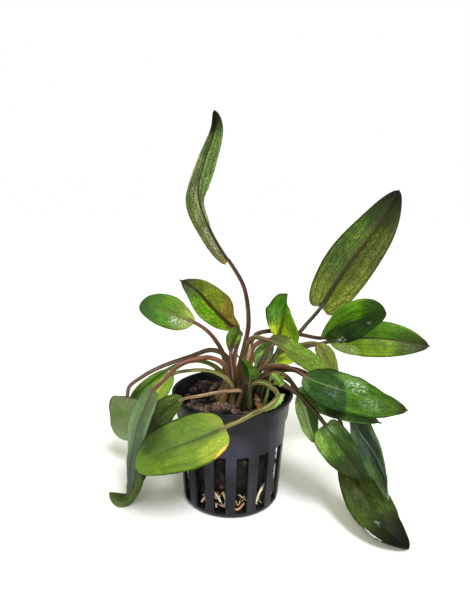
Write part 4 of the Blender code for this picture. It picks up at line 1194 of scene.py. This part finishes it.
class Pile:
    """Vertices and faces of many small shapes gathered into one mesh."""

    def __init__(self):
        self.verts = []
        self.faces = []
        self.tints = []

    def add(self, verts, faces, tint=0.5, foot=1.0):
        """Put one more shape on the pile, with a value that its material can read as its tint.

        foot is the share of the tint that is left at the shape's lowest point; on the medium's lumps it is
        below 1, so that each lump is darker towards its foot as painted shade between the lumps.
        """
        self.faces += [tuple(i + len(self.tints) for i in f) for f in faces]
        verts = np.asarray(verts, float)
        self.verts.append(verts)
        rise = (verts[:, 2] - verts[:, 2].min()) / np.ptp(verts[:, 2])
        self.tints += (tint * (foot + (1 - foot) * rise ** 2)).tolist()

    def add_tube(self, points, radii, sides=8, tint=0.5):
        """Put on a closed round tube through the points, its radius going through radii."""
        fine, run = smooth_curve(points)
        count = max(6, int(run[-1] / 0.8))
        where = np.linspace(0, run[-1], count)
        center = at_run(fine, run, where)
        ahead = unit(np.gradient(center, axis=0))
        up = np.array([0.31, 0.17, 0.93])
        radius = np.interp(where / run[-1], np.linspace(0, 1, len(radii)), radii)
        verts = []
        for i in range(count):
            up = unit(up - up.dot(ahead[i]) * ahead[i])
            side = np.cross(ahead[i], up)
            for j in range(sides):
                a = -math.tau * j / sides
                verts.append(center[i] + radius[i] * (math.cos(a) * side + math.sin(a) * up))
        self.add(verts + [center[0], center[-1]], ring_faces(count, sides), tint)

    def mesh(self, name):
        """The pile as one mesh."""
        mesh = mesh_from(name, np.vstack(self.verts), self.faces)
        mesh.attributes.new("tint", "FLOAT", "POINT").data.foreach_set("value", self.tints)
        return mesh


def surface_height(x, y):
    """Uneven height of the medium's surface, raised and sunk in places, as in the CAD."""
    wave = (math.sin(0.55 * x + 1.3) * math.cos(0.47 * y - 0.4)
            + 0.6 * math.sin(1.1 * x - 0.8 * y + 2.0) + 0.4 * math.cos(0.9 * x + 1.4 * y))
    raised = sum(rise * math.exp(-((x - cx) ** 2 + (y - cy) ** 2) / spread)
                 for cx, cy, rise, spread in SWELLS)
    return MEDIUM_TOP + 0.95 * wave + raised


def medium_mesh():
    """Growing medium: a dark core with brown lumps over its top and behind every slot."""
    rng = random.Random(11)
    pile = Pile()
    core = []
    for r, z in CORE:
        for a in [math.tau * j / CORE_SIDES for j in range(CORE_SIDES)]:
            wobble = 1 + 0.03 * noise.noise(Vector((3 * math.cos(a), 3 * math.sin(a), z * 0.3)))
            core.append(around(r * wobble, a, z))
    pile.add(core + [(0, 0, 2.2), (0, 0, 44)], ring_faces(len(CORE), CORE_SIDES))
    # These lumps, like the front and crown lumps below, pass a foot below 0, so each is darker towards its
    # foot: painted shade between the lumps.
    for i in range(TOP_LUMPS):
        large = i < LARGE_TOP_LUMPS
        size = rng.uniform(2.0, 3.7) if large else rng.uniform(0.7, 1.5)
        distance = (23.4 - size) * math.sqrt(rng.random())
        x, y, _ = around(distance, rng.uniform(0, math.tau), 0)
        shape = lump(rng, size)
        sunk = size * (rng.uniform(0.35, 0.9) if large else rng.uniform(0.0, 0.9))
        pile.add(shape + (x, y, surface_height(x, y) - sunk), BALL_FACES, rng.uniform(0.35, 1.0), -0.6)
    for x, y, size, top in FRONT_LUMPS:
        pile.add(lump(rng, size) + (x, y, top - 0.8 * size), BALL_FACES, 1.0, -0.5)
    for _ in range(CROWN_LUMPS):
        size = rng.uniform(1.0, 2.1)
        distance = rng.uniform(7.5, 13.0)
        a = rng.uniform(0, math.tau)
        shape = lump(rng, size)
        place = around(distance, a, crown_height(distance) - size * rng.uniform(0.2, 0.7), CROWN_CENTER)
        pile.add(shape + place, BALL_FACES, rng.uniform(0.35, 1.0), -0.4)
    for i in range(SLOT_COUNT):
        for k in range(SLOT_LUMPS):
            a = -math.pi / 2 + math.tau * (i + 0.5) / SLOT_COUNT + rng.uniform(-0.12, 0.12)
            z = 14.0 + 15 * (k + rng.random()) / SLOT_LUMPS
            size = rng.uniform(1.1, 2.4)
            shape = lump(rng, size)
            r = 19.2 + 1.4 * (z - 15) / 15 - size * rng.uniform(0.3, 1.1)
            pile.add(shape + around(r, a, z), BALL_FACES, rng.random())
    return pile.mesh("medium_grown")


def medium_material():
    """Damp, porous brown lumps with dark pits and pale grains, painted shade towards each lump's foot and
    painted shade lower down in the pot.
    """
    g = Graph("medium_earth")
    spot = g.spot()
    cloud = g.noise(spot, 130.0, 5.0, 0.65)
    fine = g.noise(spot, 900.0, 5.0, 0.7)
    pits = g.cells(spot, 700.0, "F1")
    tint = g.attribute("tint", "Fac")
    # Low tint is dark: a random tone for each lump, and painted shade towards each lump's foot.
    color = g.blotch(g.ramp(tint, 0.0, 0.9), (16, 13, 10), (108, 86, 72))
    color = g.over(color, g.ramp(cloud, 0.42, 0.62, 0.0, 0.6), (34, 25, 23))
    grains = g.times(g.ramp(fine, 0.54, 0.66, 0.0, 0.9), g.ramp(tint, 0.1, 0.6))
    color = g.over(color, grains, (184, 152, 128))
    color = g.over(color, g.ramp(fine, 0.5, 0.36, 0.0, 0.85), (14, 10, 9))
    color = g.over(color, g.ramp(pits, 0.35, 0.1, 0.0, 0.5), (20, 14, 13))
    # Painted shade: the medium is darker lower down inside the pot, behind the slots.
    painted_low_shade = g.times(g.ramp(g.parts(spot)["Z"], 43 * MM, 36 * MM), g.ramp(tint, 0.55, 0.95, 0.92, 0.35))
    color = g.over(color, painted_low_shade, (10, 7, 6))
    return g.finish(color, g.ramp(fine, 0.3, 0.8, 0.62, 0.95), g.line(pits, 0.6, fine),
                    strength=1.0, distance=0.9)


def crown_mesh():
    """Crown: a knobbly dome with stubs of old stalks and a ringed piece of rootstock at its front."""
    rng = random.Random(5)
    pile = Pile()
    dome = []
    for i in range(DOME_RINGS):
        r = CROWN_RADIUS * (1 - i / DOME_RINGS)
        z = crown_height(r) if i else DOME_FOOT
        for a in [math.tau * j / DOME_SIDES for j in range(DOME_SIDES)]:
            bump = 0.45 * noise.noise(Vector(around(r, a, z)) * 0.45)
            dome.append(around(r, a, z + bump, CROWN_CENTER))
    dome += [(*CROWN_CENTER, DOME_FOOT), (*CROWN_CENTER, crown_height(0))]
    pile.add(dome, ring_faces(DOME_RINGS, DOME_SIDES))
    for _ in range(OLD_STALKS):
        a = rng.uniform(0, math.tau)
        distance = rng.uniform(4, 10)
        x, y, foot = around(distance, a, crown_height(distance) - 1.0, CROWN_CENTER)
        tall = rng.uniform(2.5, 6.0)
        lean = rng.uniform(-1.5, 1.5)
        pile.add_tube([(x, y, foot), (x + lean * 0.4, y + lean * 0.3, foot + tall * 0.6),
                       (x + lean, y + lean * 0.8, foot + tall)], [rng.uniform(0.8, 1.3), 0.7, 0.25])
    pile.add_tube(ROOTSTOCK, [1.9, 2.1, 1.5, 1.9, 1.3, 0.6], 14, 1.0)
    return pile.mesh("crown_grown")


def crown_material():
    """Brown rootstock with darker scars, and an orange one on the ringed piece."""
    g = Graph("crown_bark")
    spot = g.spot()
    cloud = g.noise(spot, 220.0, 4.0, 0.6)
    fine = g.noise(spot, 1100.0, 4.0, 0.65)
    color = g.blotch(g.ramp(cloud, 0.35, 0.65), (28, 26, 18), (66, 54, 38))
    color = g.over(color, g.ramp(fine, 0.4, 0.65, 0.0, 0.7), (36, 27, 21))
    level = g.line(cloud, 3.0, g.times(g.parts(spot)["Z"], 1 / MM))
    rings = g.math("PINGPONG", level, 0.8)
    stock = g.blotch(g.ramp(rings, 0.05, 0.6), (66, 50, 34), (150, 120, 82))
    stock = g.over(stock, g.ramp(fine, 0.46, 0.6, 0.0, 0.7), (92, 70, 46))
    scar = g.ramp(g.distance(spot, ROOTSTOCK_SCAR), 1.7 * MM, 0.8 * MM)
    stock = g.over(stock, scar, (164, 106, 58))
    color = g.mix(g.ramp(g.attribute("tint", "Fac"), 0.6, 0.9), color, stock)
    return g.finish(color, g.ramp(fine, 0.2, 0.8, 0.5, 0.8), fine, strength=0.6, distance=0.5)


def root_mesh(name, bearing, turn, heights):
    """One root with a few finer ones that branch off it, wandering round the medium's foot."""
    rng = random.Random(name)
    pile = Pile()
    points = [around(ROOT_RING, math.radians(bearing + turn * i / (len(heights) - 1)), z)
              for i, z in enumerate(heights)]
    pile.add_tube(points, [ROOT_RADIUS, ROOT_RADIUS, ROOT_RADIUS * 0.65], 10)
    steps = [k / (ROOT_KNOTS - 1) for k in range(ROOT_KNOTS)]
    for _ in range(FINE_ROOTS):
        start = math.radians(bearing + turn * rng.random())
        spread = math.radians(rng.uniform(-16, 16))
        z = rng.uniform(3.4, 11.0)
        branch = [around(ROOT_RING + rng.uniform(-0.5, 0.35), start + spread * step,
                         max(2.3, z + rng.uniform(-1.8, 1.8))) for step in steps]
        width = rng.uniform(0.14, 0.34)
        pile.add_tube(branch, [width, width, width * 0.5], 6)
    for _ in range(ROOT_HAIRS):
        start = math.radians(bearing + turn * rng.uniform(-0.2, 1.2))
        spread = math.radians(rng.uniform(-12, 12))
        low, high = sorted((rng.uniform(2.4, 13.0), rng.uniform(2.4, 13.0)))
        hair = []
        for step in steps:
            a = start + spread * step + rng.uniform(-0.02, 0.02)
            hair.append(around(ROOT_RING + rng.uniform(0.1, 0.6), a, low + (high - low) * step))
        pile.add_tube(hair, [0.07, 0.05], 5, 1.0)
    return pile.mesh(name + "_grown")


def root_material():
    """Tan and cream roots, darker where they are old."""
    g = Graph("root_skin")
    spot = g.spot()
    cloud = g.noise(spot, 150.0, 3.0, 0.6)
    fine = g.noise(spot, 1400.0, 3.0, 0.6)
    color = g.blotch(g.ramp(cloud, 0.36, 0.62), (232, 218, 188), (178, 144, 100))
    color = g.over(color, g.ramp(fine, 0.45, 0.75, 0.0, 0.4), (120, 84, 54))
    color = g.over(color, g.ramp(g.attribute("tint", "Fac"), 0.6, 0.9, 0.0, 0.9), (104, 92, 62))
    return g.finish(color, g.ramp(fine, 0.2, 0.8, 0.4, 0.65), fine, strength=0.3, distance=0.2)


def main():
    """Dress every piece, then set up the view."""
    add_pot()
    place_piece("medium_grown", medium_mesh(), medium_material(), "medium", "growing_medium")
    place_piece("crown_grown", crown_mesh(), crown_material(), "crown", "crown")
    skin = root_material()
    for name, bearing, turn, heights in ROOTS:
        place_piece(name + "_grown", root_mesh(name, bearing, turn, heights), skin, "root", name)
    for leaf in LEAVES + SPROUTS:
        look = LOOKS[leaf.name]
        place_piece(leaf.name + "_grown", leaf_mesh(leaf, look), leaf_material(leaf.name, leaf.width, look),
                    look.slot, leaf.name)
    add_camera()
    add_light()


main()
